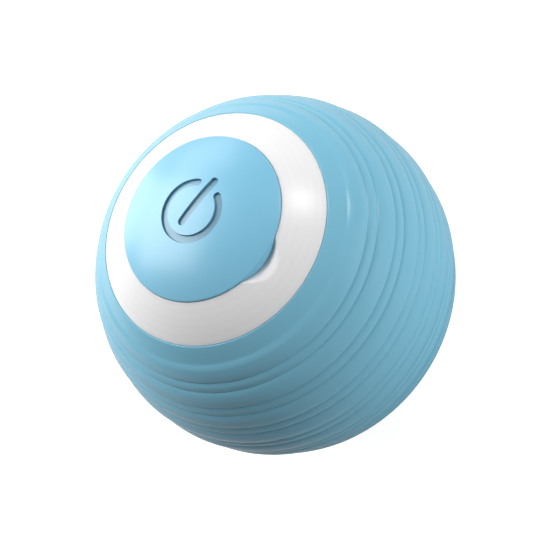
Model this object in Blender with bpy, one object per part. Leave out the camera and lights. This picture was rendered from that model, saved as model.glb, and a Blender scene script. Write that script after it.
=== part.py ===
"""Self rolling cat ball, as the pieces that it is put together from.

A motor turns an eccentric weight inside a rigid ball under a ribbed silicone sleeve. A domed
disc in a lift-off cap works the switch and hides the charging socket, and a light ring shines
round it. Metres, +Z up. The origin is the centre of the ball, +Z runs out through the disc,
+X points at the nail scoop and +Y at the top of the power mark.
"""

import math

import bmesh
import bpy
from mathutils import Matrix, Vector

MM = 0.001

# Clearances and the overrun of every cut
SEAT_GAP = 0.2 * MM
SLEEVE_GAP = 0.25 * MM
RUN_GAP = 0.15 * MM
SPLIT_GAP = 0.2 * MM
SWING_GAP = 0.7 * MM
OVERRUN = 1.0 * MM
WELD = 0.001 * MM

# Ball: radius over the crowns of the wide ribs, and the walls under it
BALL_RADIUS = 21.5 * MM
SLEEVE_WALL = 1.5 * MM
SHELL_WALL = 1.4 * MM

# Sleeve: how far each feature lies under the crowns, and the ribs' widths along the surface
BAND_SINK = 0.13 * MM
BAND_WIDTH = 2.2 * MM
CREASE_DEPTH = 0.22 * MM
NARROW_SINK = 0.1 * MM
WIDE_RIB = 2.5 * MM
NARROW_RIB = 1.27 * MM
REAR_PAD_RADIUS = 5.0 * MM
REAR_PAD_EDGE = 0.7 * MM
GATE_FLAT_RADIUS = 1.0 * MM

# Light ring and the disc in it: the ring's spigot goes down the shell's neck, its flange over it
SPIGOT_WALL = 1.98 * MM
RING_FLANGE = 1.63 * MM
RING_SINK = 0.23 * MM
DISC_RADIUS = 9.52 * MM
DISC_SINK = 0.09 * MM
DISC_GAP = 0.3 * MM
DISC_WALL = 1.2 * MM
SKIRT_DROP = 0.08 * MM
RIM_FILLET = 0.3 * MM
SCOOP_LENGTH = 5.65 * MM
SCOOP_REACH = 1.2 * MM
SCOOP_DEPTH = 0.9 * MM

# Power mark engraved in the disc
MARK_RADIUS = 3.65 * MM
MARK_STROKE = 0.79 * MM
MARK_DEPTH = 0.4 * MM
MARK_OPEN_ANGLE = math.radians(45)
BAR_TOP = 4.35 * MM
BAR_BOTTOM = 1.94 * MM

# Cap carrier and the travel of the disc
PRESS_TRAVEL = 0.6 * MM
CARRIER_HEIGHT = 2.85 * MM
CARRIER_WEB = 0.8 * MM
CARRIER_WALL = 0.75 * MM
CARRIER_SHELF = 2.37 * MM
LEG_THICKNESS = 0.9 * MM
LEG_WIDTH = 2.2 * MM
LEG_BARB = 0.5 * MM
BARB_HEIGHT = 0.6 * MM
LEG_ANGLES = [math.radians(a) for a in (0, 105, 255)]

# Upper shell's ledge, and the board on it
BOARD_THICKNESS = 1.0 * MM
LEDGE_LIP = 0.8 * MM
LEDGE_THICKNESS = 1.3 * MM
LAMP_ROOM = 1.2 * MM
LAMP_SIZE = 1.6 * MM
LAMP_HEIGHT = 0.7 * MM
LAMP_ANGLES = [math.radians(a) for a in (45, 135, 225, 315)]
BOARD_SCREW_ANGLES = [math.radians(a) for a in (0, 120, 240)]

# Switch
SWITCH_LENGTH = 4.2 * MM
SWITCH_WIDTH = 3.2 * MM
SWITCH_HEIGHT = 1.6 * MM
PLUNGER_RADIUS = 0.95 * MM
PLUNGER_STAND = 0.7 * MM
PLUNGER_TRAVEL = 0.3 * MM
STEM_RADIUS = 1.3 * MM
STEM_GAP = 0.35 * MM

# Charging socket
SOCKET_LENGTH = 8.94 * MM
SOCKET_WIDTH = 3.26 * MM
SOCKET_CORNER = 1.2 * MM
SOCKET_RIM = 0.35 * MM
SOCKET_STAND = 2.1 * MM
SOCKET_HEIGHT = 6.5 * MM
SOCKET_FLOOR = 1.3 * MM
SOCKET_PLACE = 3.93 * MM
TONGUE_LENGTH = 6.7 * MM
TONGUE_THICKNESS = 0.7 * MM
TONGUE_DROP = 0.7 * MM

# Chips under the board
CHIP_SIZE = 4.0 * MM
CHIP_HEIGHT = 0.8 * MM
CHIP_MARGIN = 1.4 * MM
SMALL_CHIP_LENGTH = 3.0 * MM
SMALL_CHIP_WIDTH = 2.4 * MM

# Screws
SHELL_SCREW_RADIUS = 0.75 * MM
SHELL_SCREW_HEAD = 1.4 * MM
SHELL_SCREW_HEAD_HEIGHT = 0.9 * MM
SHELL_SCREW_SEAT = 9.2 * MM
SHELL_SCREW_REACH = 5.0 * MM
SHELL_SCREW_PLACE = 6.0 * MM
SMALL_SCREW_RADIUS = 0.45 * MM
SMALL_SCREW_HEAD = 0.85 * MM
SMALL_SCREW_HEAD_HEIGHT = 0.5 * MM
BOSS_WALL = 0.5 * MM
POST_WALL = 0.75 * MM
BOARD_SCREW_LENGTH = 2.3 * MM
COVER_SCREW_LENGTH = 3.2 * MM
FRAME_SCREW_LENGTH = 4.0 * MM

# Tongue of the lower shell, inside the upper one
TONGUE_HEIGHT = 1.2 * MM
TONGUE_WALL = 0.8 * MM

# Motor
MOTOR_RADIUS = 4.0 * MM
MOTOR_LENGTH = 10.6 * MM
MOTOR_DROP = 8.5 * MM
MOTOR_BOSS_RADIUS = 1.5 * MM
MOTOR_BOSS_HEIGHT = 0.7 * MM
MOTOR_SHAFT_RADIUS = 0.4 * MM
MOTOR_SHAFT_DEPTH = 1.4 * MM
END_CAP_RADIUS = 3.2 * MM
END_CAP_THICKNESS = 1.0 * MM
CAN_CHAMFER = 0.4 * MM

# Gears: teeth, module and widths along the drive axis
MODULE = 0.4 * MM
ADDENDUM = 0.36 * MM
DEDENDUM = 0.5 * MM
BACKLASH = 0.1 * MM
MESH_SPREAD = 0.05 * MM
PRESSURE_ANGLE = math.radians(20)
PINION_TEETH = 8
LARGE_TEETH = 30
SMALL_TEETH = 10
OUTPUT_TEETH = 30
LARGE_WIDTH = 1.0 * MM
OUTPUT_WIDTH = 1.2 * MM
GEAR_SIDE_GAP = 0.4 * MM
HUB_RADIUS = 2.2 * MM
IDLER_PIN_RADIUS = 0.6 * MM
DRIVE_SHAFT_RADIUS = 1.0 * MM
BUSH_RADIUS = 2.0 * MM

# Gear frame and cover
PLATE_BACK = 1.4 * MM
PLATE = 1.2 * MM
COVER = 1.0 * MM
COLLAR_WALL = 1.0 * MM
COLLAR_LENGTH = 6.0 * MM
TRAY_WALL_HEIGHT = 2.4 * MM
EAR_DROP = 1.4 * MM
EAR_THICKNESS = 1.2 * MM
EAR_BACK = 9.6 * MM
EAR_SIDE = 11.4 * MM
PLATE_MARGIN = 1.2 * MM
COVER_POST_PLACES_SHARES = [(0.94, -0.65), (-0.76, 0.71), (-0.53, -1.48)]

# Battery
BATTERY_LENGTH = 9.4 * MM
BATTERY_WIDTH = 16.0 * MM
BATTERY_HEIGHT = 5.4 * MM
BATTERY_CORNER = 1.2 * MM
PAD_THICKNESS = 0.4 * MM
PAD_INSET = 1.0 * MM

# Drive weight
WEIGHT_WIDTH = 4.2 * MM
WEIGHT_SIDE_GAP = 0.5 * MM
WEIGHT_HUB = 2.6 * MM
PEDESTAL = 1.2 * MM
PEDESTAL_WIDTH = 6.4 * MM

# Leads
LEAD_RADIUS = 0.35 * MM
LEAD_INSET = 2.4 * MM
LEAD_STRAIGHT = 0.9 * MM
LEAD_STEP = 2.0 * MM
MOTOR_LEAD_SIDE = 1.6 * MM
BATTERY_LEAD_SIDE = 5.2 * MM
BATTERY_LEAD_RISE = 1.2 * MM
MOTOR_LEAD_ANGLES = [math.radians(a) for a in (108, 90, 72, 54)]
BATTERY_LEAD_ANGLES = [math.radians(a) for a in (68, 54)]

# Sides of the round solids
SLEEVE_SIDES = 40
SHELL_SIDES = 32
RING_SIDES = 40
MARK_SIDES = 24
SMALL_SIDES = 16
SCREW_SIDES = 8

# Spheres, from the outside in
SLEEVE_INNER = BALL_RADIUS - SLEEVE_WALL
SHELL_OUTER = SLEEVE_INNER - SLEEVE_GAP
SHELL_INNER = SHELL_OUTER - SHELL_WALL
SHELL_MIDDLE = (SHELL_OUTER + SHELL_INNER) / 2
RING_SPHERE = BALL_RADIUS - RING_SINK
DISC_SPHERE = BALL_RADIUS - DISC_SINK
BAND_SPHERE = BALL_RADIUS - BAND_SINK

# Radii round the disc, from the ring's bore outwards
RING_BORE = DISC_RADIUS + DISC_GAP
NECK_RADIUS = RING_BORE + SPIGOT_WALL + SEAT_GAP
RING_OUTER_RADIUS = NECK_RADIUS + RING_FLANGE

# Angles from +Z at which the ring, the sleeve's lip and the first rib begin
RING_EDGE = math.asin(RING_OUTER_RADIUS / RING_SPHERE)
SLEEVE_LIP = RING_EDGE + SEAT_GAP / RING_SPHERE
FIRST_RIB = RING_EDGE + BAND_WIDTH / BALL_RADIUS
RIB_PITCH = WIDE_RIB + NARROW_RIB
RIBBED_LENGTH = (math.pi - FIRST_RIB) * BALL_RADIUS - REAR_PAD_RADIUS
RIB_COUNT = int(RIBBED_LENGTH / RIB_PITCH)

# Heights of the cap, of the board under it and of what stands on the board
DISC_EDGE_TOP = math.sqrt(DISC_SPHERE**2 - DISC_RADIUS**2)
DISC_UNDER = DISC_SPHERE - DISC_WALL
SKIRT_INNER = DISC_RADIUS - CARRIER_WALL
SKIRT_LOW = math.sqrt(DISC_UNDER**2 - SKIRT_INNER**2) - SKIRT_DROP
CARRIER_TOP = SKIRT_LOW - PRESS_TRAVEL - SEAT_GAP
CARRIER_OUTER = RING_BORE - SEAT_GAP
CARRIER_BORE = CARRIER_OUTER - CARRIER_SHELF
BARB_TOP = CARRIER_TOP - CARRIER_WEB - SEAT_GAP
BOARD_TOP = CARRIER_TOP - CARRIER_HEIGHT - SEAT_GAP
BOARD_LOW = BOARD_TOP - BOARD_THICKNESS
LEDGE_TOP = BOARD_LOW - SEAT_GAP
LEDGE_LOW = LEDGE_TOP - LEDGE_THICKNESS
BOARD_RADIUS = NECK_RADIUS - 2 * SEAT_GAP
PART_LOW = BOARD_TOP + SEAT_GAP
SWITCH_TOP = PART_LOW + SWITCH_HEIGHT
PLUNGER_TOP = SWITCH_TOP + PLUNGER_STAND
SOCKET_TOP = BOARD_TOP + SOCKET_STAND
LAMP_CIRCLE = (RING_BORE + NECK_RADIUS) / 2
LEDGE_RADIUS = LAMP_CIRCLE - SMALL_SCREW_RADIUS - RUN_GAP - LEDGE_LIP
CHIP_PLACE = LEDGE_RADIUS - CHIP_SIZE / 2 - CHIP_MARGIN

# Places along the drive axis, from the motor plate outwards
PLATE_FRONT = PLATE - PLATE_BACK
LARGE_LOW = PLATE_FRONT + GEAR_SIDE_GAP
LARGE_HIGH = LARGE_LOW + LARGE_WIDTH
OUTPUT_LOW = LARGE_HIGH + GEAR_SIDE_GAP
OUTPUT_HIGH = OUTPUT_LOW + OUTPUT_WIDTH
COVER_LOW = OUTPUT_HIGH + GEAR_SIDE_GAP
COVER_HIGH = COVER_LOW + COVER
WEIGHT_LOW = COVER_HIGH + SEAT_GAP + SMALL_SCREW_HEAD_HEIGHT + WEIGHT_SIDE_GAP
WEIGHT_HIGH = WEIGHT_LOW + WEIGHT_WIDTH
PEDESTAL_LOW = WEIGHT_HIGH + WEIGHT_SIDE_GAP
PEDESTAL_HIGH = PEDESTAL_LOW + PEDESTAL
MOTOR_FRONT = -PLATE_BACK - SEAT_GAP
MOTOR_REAR = MOTOR_FRONT - MOTOR_LENGTH

# The weight swings inside the ledge and between the screw bosses
WEIGHT_RADIUS = LEDGE_LOW - SWING_GAP
BOSS_RADIUS = SHELL_SCREW_HEAD + SEAT_GAP + BOSS_WALL
BOSS_SIDE = WEIGHT_RADIUS + SWING_GAP + BOSS_RADIUS

# Axes of the gear train, in the plane across the drive axis
IDLER_REACH = (OUTPUT_TEETH + SMALL_TEETH) * MODULE / 2 + MESH_SPREAD
PINION_REACH = (LARGE_TEETH + PINION_TEETH) * MODULE / 2 + MESH_SPREAD
IDLER_TURN = math.acos(
    (IDLER_REACH**2 + MOTOR_DROP**2 - PINION_REACH**2) / (2 * IDLER_REACH * MOTOR_DROP)
)
IDLER_ANGLE = -math.pi / 2 - IDLER_TURN
IDLER_Y = IDLER_REACH * math.cos(IDLER_ANGLE)
IDLER_Z = IDLER_REACH * math.sin(IDLER_ANGLE)
COVER_POSTS = [(y * MOTOR_DROP, z * MOTOR_DROP) for y, z in COVER_POST_PLACES_SHARES]
POST_RADIUS = SMALL_SCREW_RADIUS + RUN_GAP + POST_WALL

# Battery tray over the motor
TRAY_TOP = -MOTOR_DROP + MOTOR_RADIUS + SEAT_GAP + COLLAR_WALL
PAD_LOW = TRAY_TOP + SEAT_GAP
BATTERY_LOW = PAD_LOW + PAD_THICKNESS + SEAT_GAP
BATTERY_HIGH = BATTERY_LOW + BATTERY_HEIGHT
BATTERY_FRONT = -PLATE_BACK - SEAT_GAP
BATTERY_REAR = BATTERY_FRONT - BATTERY_LENGTH


def clear_scene():
    for obj in list(bpy.data.objects):
        bpy.data.objects.remove(obj, do_unlink=True)


def finish(name, colour, roughness, metallic=0.0):
    """A plain material of one colour."""
    material = bpy.data.materials.new(name)
    material.use_nodes = True
    shader = material.node_tree.nodes["Principled BSDF"]
    shader.inputs["Base Color"].default_value = (*colour, 1.0)
    shader.inputs["Roughness"].default_value = roughness
    shader.inputs["Metallic"].default_value = metallic
    return material


def add_object(name, bm, material=None, location=(0, 0, 0)):
    """An object from a bmesh, with its faces pointing out and its round sides shaded smooth."""
    bmesh.ops.recalc_face_normals(bm, faces=bm.faces)
    mesh = bpy.data.meshes.new(name)
    bm.to_mesh(mesh)
    bm.free()
    mesh.shade_smooth()
    mesh.set_sharp_from_angle(angle=math.radians(35))
    obj = bpy.data.objects.new(name, mesh)
    obj.location = location
    if material:
        mesh.materials.append(material)
    else:
        obj.hide_render = True
        obj.display_type = "WIRE"
    bpy.context.scene.collection.objects.link(obj)
    return obj


def towards(direction):
    """The turn that takes +Z to this direction."""
    return Vector((0, 0, 1)).rotation_difference(Vector(direction)).to_matrix().to_4x4()


def turned(name, outline, sides, material=None, direction=(0, 0, 1), location=(0, 0, 0)):
    """A solid spun from a closed outline of (distance from the axis, place along it)."""
    bm = bmesh.new()
    verts = [bm.verts.new((radius, 0, along)) for radius, along in outline]
    edges = [
        bm.edges.new((a, b))
        for a, b in zip(verts, verts[1:] + verts[:1])
        if a.co.x > WELD or b.co.x > WELD
    ]
    bmesh.ops.spin(
        bm, geom=verts + edges, axis=(0, 0, 1), steps=sides, angle=math.tau, use_merge=True
    )
    bmesh.ops.remove_doubles(bm, verts=bm.verts, dist=WELD)
    bmesh.ops.transform(bm, matrix=towards(direction), verts=bm.verts)
    return add_object(name, bm, material, location)


def prism(name, outline, low, high, material=None, matrix=None, location=(0, 0, 0)):
    """A solid raised from an outline in the XY plane, then turned or moved by the matrix."""
    bm = bmesh.new()
    face = bm.faces.new([bm.verts.new((x, y, low)) for x, y in outline])
    raised = bmesh.ops.extrude_face_region(bm, geom=[face])["geom"]
    top = [v for v in raised if isinstance(v, bmesh.types.BMVert)]
    bmesh.ops.translate(bm, vec=(0, 0, high - low), verts=top)
    bmesh.ops.transform(bm, matrix=matrix or Matrix(), verts=bm.verts)
    return add_object(name, bm, material, location)


def along_x(name, outline, low, high, material=None, location=(0, 0, 0)):
    """A solid raised along X from an outline of (y, z) points."""
    to_x = Matrix(((0, 0, 1, 0), (1, 0, 0, 0), (0, 1, 0, 0), (0, 0, 0, 1)))
    return prism(name, outline, low, high, material, to_x, location)


def box(name, low, high, material=None):
    """A solid with flat sides between two corners."""
    outline = [(low[0], low[1]), (high[0], low[1]), (high[0], high[1]), (low[0], high[1])]
    return prism(name, outline, low[2], high[2], material)


def rod(name, radius, low, high, sides, material=None, direction=(0, 0, 1), location=(0, 0, 0)):
    outline = [(0, low), (radius, low), (radius, high), (0, high)]
    return turned(name, outline, sides, material, direction, location)


def sleeve_of(inner, outer, low, high):
    """Outline of a plain tube."""
    return [(inner, low), (outer, low), (outer, high), (inner, high)]


def combine(obj, tool, operation):
    modifier = obj.modifiers.new(operation.lower(), "BOOLEAN")
    modifier.operation = operation
    modifier.solver = "EXACT"
    modifier.object = tool
    return obj


def cut(obj, tool):
    return combine(obj, tool, "DIFFERENCE")


def join(obj, tool):
    return combine(obj, tool, "UNION")


def trim(obj, tool):
    return combine(obj, tool, "INTERSECT")


def polar(radius, angle):
    """Point of a turned outline on a sphere, at this angle from +Z."""
    return radius * math.sin(angle), radius * math.cos(angle)


def arc(radius, start, end, steps):
    return [polar(radius, start + (end - start) * i / steps) for i in range(steps + 1)]


def circle(radius, sides, centre=(0, 0), start=0.0, sweep=math.tau):
    """Points round a circle in a plane; the last point of a full circle isn't repeated."""
    last = sides if sweep == math.tau else sides - 1
    angles = [start + sweep * i / last for i in range(sides)]
    return [(centre[0] + radius * math.cos(a), centre[1] + radius * math.sin(a)) for a in angles]


def rounded_rectangle(length_x, length_y, corner, steps=4):
    points = []
    for turn, (sx, sy) in enumerate(((1, 1), (-1, 1), (-1, -1), (1, -1))):
        centre = (sx * (length_x / 2 - corner), sy * (length_y / 2 - corner))
        points += circle(corner, steps, centre, turn * math.pi / 2, math.pi / 2)
    return points


def ball_within(name, radius):
    """A helper ball, to trim what grows out of a shell's wall."""
    return turned(name, arc(radius, 0, math.pi, SHELL_SIDES // 2), SHELL_SIDES)


def screw(name, seat, outward, radius, head, head_height, length, material):
    """A pan head screw whose head stands outward from its seat."""
    outline = [
        (0, head_height),
        (head - head_height / 2, head_height),
        (head, head_height / 2),
        (head, 0),
        (radius, 0),
        (radius, radius - length),
        (0, -length),
    ]
    return turned(name, outline, SCREW_SIDES, material, outward, seat)


def make_sleeve(blue):
    """Silicone skin: a band that rises into wide and narrow ribs, then a smooth rear pad."""
    crease = BALL_RADIUS - CREASE_DEPTH
    outline = arc(BAND_SPHERE, SLEEVE_LIP, FIRST_RIB, 2)
    for rib in range(RIB_COUNT):
        start = FIRST_RIB + rib * RIB_PITCH / BALL_RADIUS
        middle = start + WIDE_RIB / BALL_RADIUS
        end = start + RIB_PITCH / BALL_RADIUS
        if rib:
            outline.append(polar(crease, start))
        outline.append(polar(BALL_RADIUS, start + (middle - start) / 4))
        outline.append(polar(BALL_RADIUS, middle - (middle - start) / 4))
        outline.append(polar(crease, middle))
        outline.append(polar(BALL_RADIUS - NARROW_SINK, (middle + end) / 2))
    last = FIRST_RIB + RIB_COUNT * RIB_PITCH / BALL_RADIUS
    outline.append(polar(crease, last))
    gate = math.pi - math.asin(GATE_FLAT_RADIUS / BALL_RADIUS)
    outline += arc(BALL_RADIUS, last + REAR_PAD_EDGE / BALL_RADIUS, gate, 3)
    outline.append((0, polar(BALL_RADIUS, gate)[1]))
    outline += arc(SLEEVE_INNER, math.pi, SLEEVE_LIP, 12)
    turned("sleeve", outline, SLEEVE_SIDES, blue)


def board_screw_places():
    return [(LAMP_CIRCLE * math.cos(a), LAMP_CIRCLE * math.sin(a)) for a in BOARD_SCREW_ANGLES]


def shell_screw_places():
    return [(sx * SHELL_SCREW_PLACE, sy * BOSS_SIDE) for sx in (1, -1) for sy in (1, -1)]


def screw_well(name, x, y):
    """Clearance for one shell screw, through both shells, with room for its head below."""
    hole = SHELL_SCREW_RADIUS + SEAT_GAP
    well = SHELL_SCREW_HEAD + SEAT_GAP
    outline = [
        (0, -BALL_RADIUS),
        (well, -BALL_RADIUS),
        (well, -SHELL_SCREW_SEAT),
        (hole, -SHELL_SCREW_SEAT),
        (hole, SHELL_SCREW_REACH + 2 * SEAT_GAP),
        (0, SHELL_SCREW_REACH + 2 * SEAT_GAP),
    ]
    return turned(name, outline, SMALL_SIDES, location=(x, y, 0))


def add_pedestal(shell, name, low, high, core):
    """Half of the wall that carries the drive shaft's outer bush, grown out of a shell."""
    side = PEDESTAL_WIDTH / 2
    wall = box(name, (PEDESTAL_LOW, -side, low), (PEDESTAL_HIGH, side, high))
    join(shell, trim(wall, core))


def make_shells(white):
    """The rigid ball, in two halves with a tongue between them."""
    core = ball_within("shell_core", SHELL_MIDDLE)
    wells = [screw_well(f"screw_well_{i}", x, y) for i, (x, y) in enumerate(shell_screw_places())]
    seat = rod(
        "bush_seat",
        BUSH_RADIUS + RUN_GAP,
        WEIGHT_HIGH,
        PEDESTAL_HIGH + OVERRUN,
        SMALL_SIDES,
        direction=(1, 0, 0),
    )
    half_gap = SPLIT_GAP / 2

    neck_top = math.sqrt(SHELL_OUTER**2 - NECK_RADIUS**2)
    ledge_outer = math.sqrt(SHELL_INNER**2 - LEDGE_LOW**2)
    equator = math.acos(half_gap / SHELL_OUTER)
    outline = arc(SHELL_OUTER, equator, math.acos(neck_top / SHELL_OUTER), 6)
    outline += [(NECK_RADIUS, LEDGE_TOP), (LEDGE_RADIUS, LEDGE_TOP), (LEDGE_RADIUS, LEDGE_LOW)]
    outline += arc(
        SHELL_INNER, math.asin(ledge_outer / SHELL_INNER), math.acos(half_gap / SHELL_INNER), 5
    )
    upper = turned("upper_shell", outline, SHELL_SIDES, white)

    tongue_outer = SHELL_INNER - SEAT_GAP
    tongue_inner = tongue_outer - TONGUE_WALL
    outline = arc(SHELL_OUTER, math.pi, math.acos(-half_gap / SHELL_OUTER), 9)
    outline += [
        (tongue_outer, -half_gap),
        (tongue_outer, TONGUE_HEIGHT),
        (tongue_inner, TONGUE_HEIGHT),
        (tongue_inner, -TONGUE_HEIGHT),
    ]
    outline += arc(
        SHELL_INNER, math.acos(-(TONGUE_HEIGHT + 2 * TONGUE_WALL) / SHELL_INNER), math.pi, 8
    )
    lower = turned("lower_shell", outline, SHELL_SIDES, white)

    for i, (x, y) in enumerate(shell_screw_places()):
        for shell, side, low, high in (
            (upper, "upper", half_gap, LEDGE_TOP - SEAT_GAP),
            (lower, "lower", -BALL_RADIUS, -half_gap),
        ):
            boss = rod(f"boss_{side}_{i}", BOSS_RADIUS, low, high, SMALL_SIDES, location=(x, y, 0))
            join(shell, trim(boss, core))
    for side in (1, -1):
        post = rod(
            f"frame_post_{side}",
            POST_RADIUS,
            -BALL_RADIUS,
            -EAR_DROP - EAR_THICKNESS - SEAT_GAP,
            SMALL_SIDES,
            location=(-EAR_BACK, side * EAR_SIDE, 0),
        )
        join(lower, trim(post, core))
        hole = rod(
            f"frame_post_hole_{side}",
            SMALL_SCREW_RADIUS + RUN_GAP,
            -EAR_DROP - FRAME_SCREW_LENGTH - SEAT_GAP,
            0,
            SCREW_SIDES,
            location=(-EAR_BACK, side * EAR_SIDE, 0),
        )
        cut(lower, hole)
    add_pedestal(upper, "pedestal_upper", half_gap, LEDGE_TOP - SEAT_GAP, core)
    add_pedestal(lower, "pedestal_lower", -BALL_RADIUS, -half_gap, core)
    for shell in (upper, lower):
        cut(shell, seat)
        for well in wells:
            cut(shell, well)
    for i, (x, y) in enumerate(board_screw_places()):
        hole = rod(
            f"ledge_hole_{i}",
            SMALL_SCREW_RADIUS + RUN_GAP,
            LEDGE_LOW - OVERRUN,
            LEDGE_TOP + OVERRUN,
            SCREW_SIDES,
            location=(x, y, 0),
        )
        cut(upper, hole)


def make_shell_screws(steel):
    for i, (x, y) in enumerate(shell_screw_places()):
        screw(
            f"shell_screw_{i + 1}",
            (x, y, -SHELL_SCREW_SEAT - SEAT_GAP),
            (0, 0, -1),
            SHELL_SCREW_RADIUS,
            SHELL_SCREW_HEAD,
            SHELL_SCREW_HEAD_HEIGHT,
            SHELL_SCREW_SEAT + SEAT_GAP + SHELL_SCREW_REACH,
            steel,
        )


def make_light_ring(milky):
    """Light guide: flush with the ball outside, with a spigot down over the lamps."""
    under = SHELL_OUTER + SEAT_GAP
    spigot = NECK_RADIUS - SEAT_GAP
    spigot_low = BOARD_TOP + LAMP_ROOM
    bore_top = math.sqrt(RING_SPHERE**2 - RING_BORE**2)
    outline = arc(RING_SPHERE, math.asin(RING_BORE / RING_SPHERE), RING_EDGE, 4)
    outline += arc(under, RING_EDGE, math.asin(spigot / under), 1)
    outline += [(spigot, spigot_low), (RING_BORE, spigot_low)]
    ring = turned("light_ring", outline, RING_SIDES, milky)

    bm = bmesh.new()
    bmesh.ops.create_uvsphere(bm, u_segments=16, v_segments=8, radius=1.0)
    size = Matrix.Diagonal((SCOOP_REACH + DISC_GAP, SCOOP_LENGTH / 2, SCOOP_DEPTH, 1.0))
    lean = Matrix.Rotation(math.asin(RING_BORE / RING_SPHERE), 4, "Y")
    place = Matrix.Translation((DISC_RADIUS, 0, bore_top))
    bmesh.ops.transform(bm, matrix=place @ lean @ size, verts=bm.verts)
    cut(ring, add_object("nail_scoop", bm))


def mark_tools():
    """The two strokes of the power mark, with floors that follow the dome."""
    floor = DISC_SPHERE - MARK_DEPTH
    edge = math.asin((BAR_TOP + MARK_STROKE) / floor)
    low = floor * math.cos(edge)
    half_open = MARK_OPEN_ANGLE / 2
    start = math.pi / 2 + half_open
    sweep = math.tau - MARK_OPEN_ANGLE
    ring = circle(MARK_RADIUS, 19, start=start, sweep=sweep)
    ring += circle(MARK_RADIUS - MARK_STROKE, 19, start=start, sweep=sweep)[::-1]
    half = MARK_STROKE / 2
    bar = circle(half, 5, (0, BAR_TOP - half), 0, math.pi)
    bar += circle(half, 5, (0, half - BAR_BOTTOM), math.pi, math.pi)
    below = floor - 2 * DISC_WALL
    dome = turned("mark_floor", arc(floor, 0, edge, 3) + [(0, below)], MARK_SIDES)
    tools = [
        prism("mark_ring", ring, low, BALL_RADIUS + OVERRUN),
        prism("mark_bar", bar, low, BALL_RADIUS + OVERRUN),
    ]
    return [cut(tool, dome) for tool in tools]


def make_power_button(blue):
    """Domed disc on a stem, with three hooked legs that hold it in the carrier."""
    stem_low = PLUNGER_TOP + STEM_GAP
    rim = math.asin((DISC_RADIUS - RIM_FILLET) / DISC_SPHERE)
    outline = arc(DISC_SPHERE, 0, rim, 5)
    outline += [(DISC_RADIUS, DISC_EDGE_TOP - RIM_FILLET), (DISC_RADIUS, SKIRT_LOW)]
    outline += [(SKIRT_INNER, SKIRT_LOW)]
    outline += arc(
        DISC_UNDER, math.asin(SKIRT_INNER / DISC_UNDER), math.asin(STEM_RADIUS / DISC_UNDER), 4
    )
    outline += [(STEM_RADIUS, stem_low), (0, stem_low)]
    button = turned("power_button", outline, RING_SIDES, blue)

    outer = CARRIER_BORE - SEAT_GAP
    inner = outer - LEG_THICKNESS
    top = math.sqrt(DISC_UNDER**2 - inner**2) + DISC_WALL / 2
    leg = [
        (inner, BARB_TOP - BARB_HEIGHT),
        (outer, BARB_TOP - BARB_HEIGHT),
        (outer + LEG_BARB, BARB_TOP),
        (outer, BARB_TOP),
        (outer, top),
        (inner, top),
    ]
    upright = Matrix(((1, 0, 0, 0), (0, 0, 1, 0), (0, 1, 0, 0), (0, 0, 0, 1)))
    for i, angle in enumerate(LEG_ANGLES):
        turn = Matrix.Rotation(angle, 4, "Z") @ upright
        join(button, prism(f"leg_{i}", leg, -LEG_WIDTH / 2, LEG_WIDTH / 2, matrix=turn))
    for tool in mark_tools():
        cut(button, tool)
    return button


def make_cap_carrier(white):
    """Ring that the disc snaps into; it stands on the board and lifts off with the disc."""
    inner = CARRIER_OUTER - CARRIER_WALL
    outline = [
        (inner, PART_LOW),
        (CARRIER_OUTER, PART_LOW),
        (CARRIER_OUTER, CARRIER_TOP),
        (CARRIER_BORE, CARRIER_TOP),
        (CARRIER_BORE, CARRIER_TOP - CARRIER_WEB),
        (inner, CARRIER_TOP - CARRIER_WEB),
    ]
    return turned("cap_carrier", outline, RING_SIDES, white)


def make_board(green, steel):
    """Round main board on the ledge, with its three screws."""
    board = prism("main_board", circle(BOARD_RADIUS, SHELL_SIDES), BOARD_LOW, BOARD_TOP, green)
    slot = rounded_rectangle(
        SOCKET_WIDTH + 2 * SEAT_GAP, SOCKET_LENGTH + 2 * SEAT_GAP, SOCKET_CORNER
    )
    place = Matrix.Translation((-SOCKET_PLACE, 0, 0))
    cut(board, prism("socket_slot", slot, BOARD_LOW - OVERRUN, BOARD_TOP + OVERRUN, matrix=place))
    for i, (x, y) in enumerate(board_screw_places()):
        hole = rod(
            f"board_hole_{i}",
            SMALL_SCREW_RADIUS + RUN_GAP,
            BOARD_LOW - OVERRUN,
            BOARD_TOP + OVERRUN,
            SCREW_SIDES,
            location=(x, y, 0),
        )
        cut(board, hole)
        screw(
            f"board_screw_{i + 1}",
            (x, y, PART_LOW),
            (0, 0, 1),
            SMALL_SCREW_RADIUS,
            SMALL_SCREW_HEAD,
            SMALL_SCREW_HEAD_HEIGHT,
            BOARD_SCREW_LENGTH,
            steel,
        )


def make_lamps(warm):
    half = LAMP_SIZE / 2
    for i, angle in enumerate(LAMP_ANGLES):
        turn = Matrix.Rotation(angle, 4, "Z") @ Matrix.Translation((LAMP_CIRCLE, 0, 0))
        square = [(-half, -half), (half, -half), (half, half), (-half, half)]
        prism(f"led_{i + 1}", square, PART_LOW, PART_LOW + LAMP_HEIGHT, warm, turn)


def make_switch(black, tin):
    """Tact switch under the disc's stem, with its plunger in a round well."""
    outline = rounded_rectangle(SWITCH_LENGTH, SWITCH_WIDTH, SEAT_GAP, 2)
    body = prism("tact_switch", outline, PART_LOW, SWITCH_TOP, tin)
    plunger_low = PART_LOW + PLUNGER_TRAVEL + 2 * SEAT_GAP
    well_low = plunger_low - PLUNGER_TRAVEL - SEAT_GAP / 2
    well = PLUNGER_RADIUS + SEAT_GAP
    cut(body, rod("plunger_well", well, well_low, SWITCH_TOP + OVERRUN, SMALL_SIDES))
    rod("switch_plunger", PLUNGER_RADIUS, plunger_low, PLUNGER_TOP, SMALL_SIDES, black)


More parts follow.
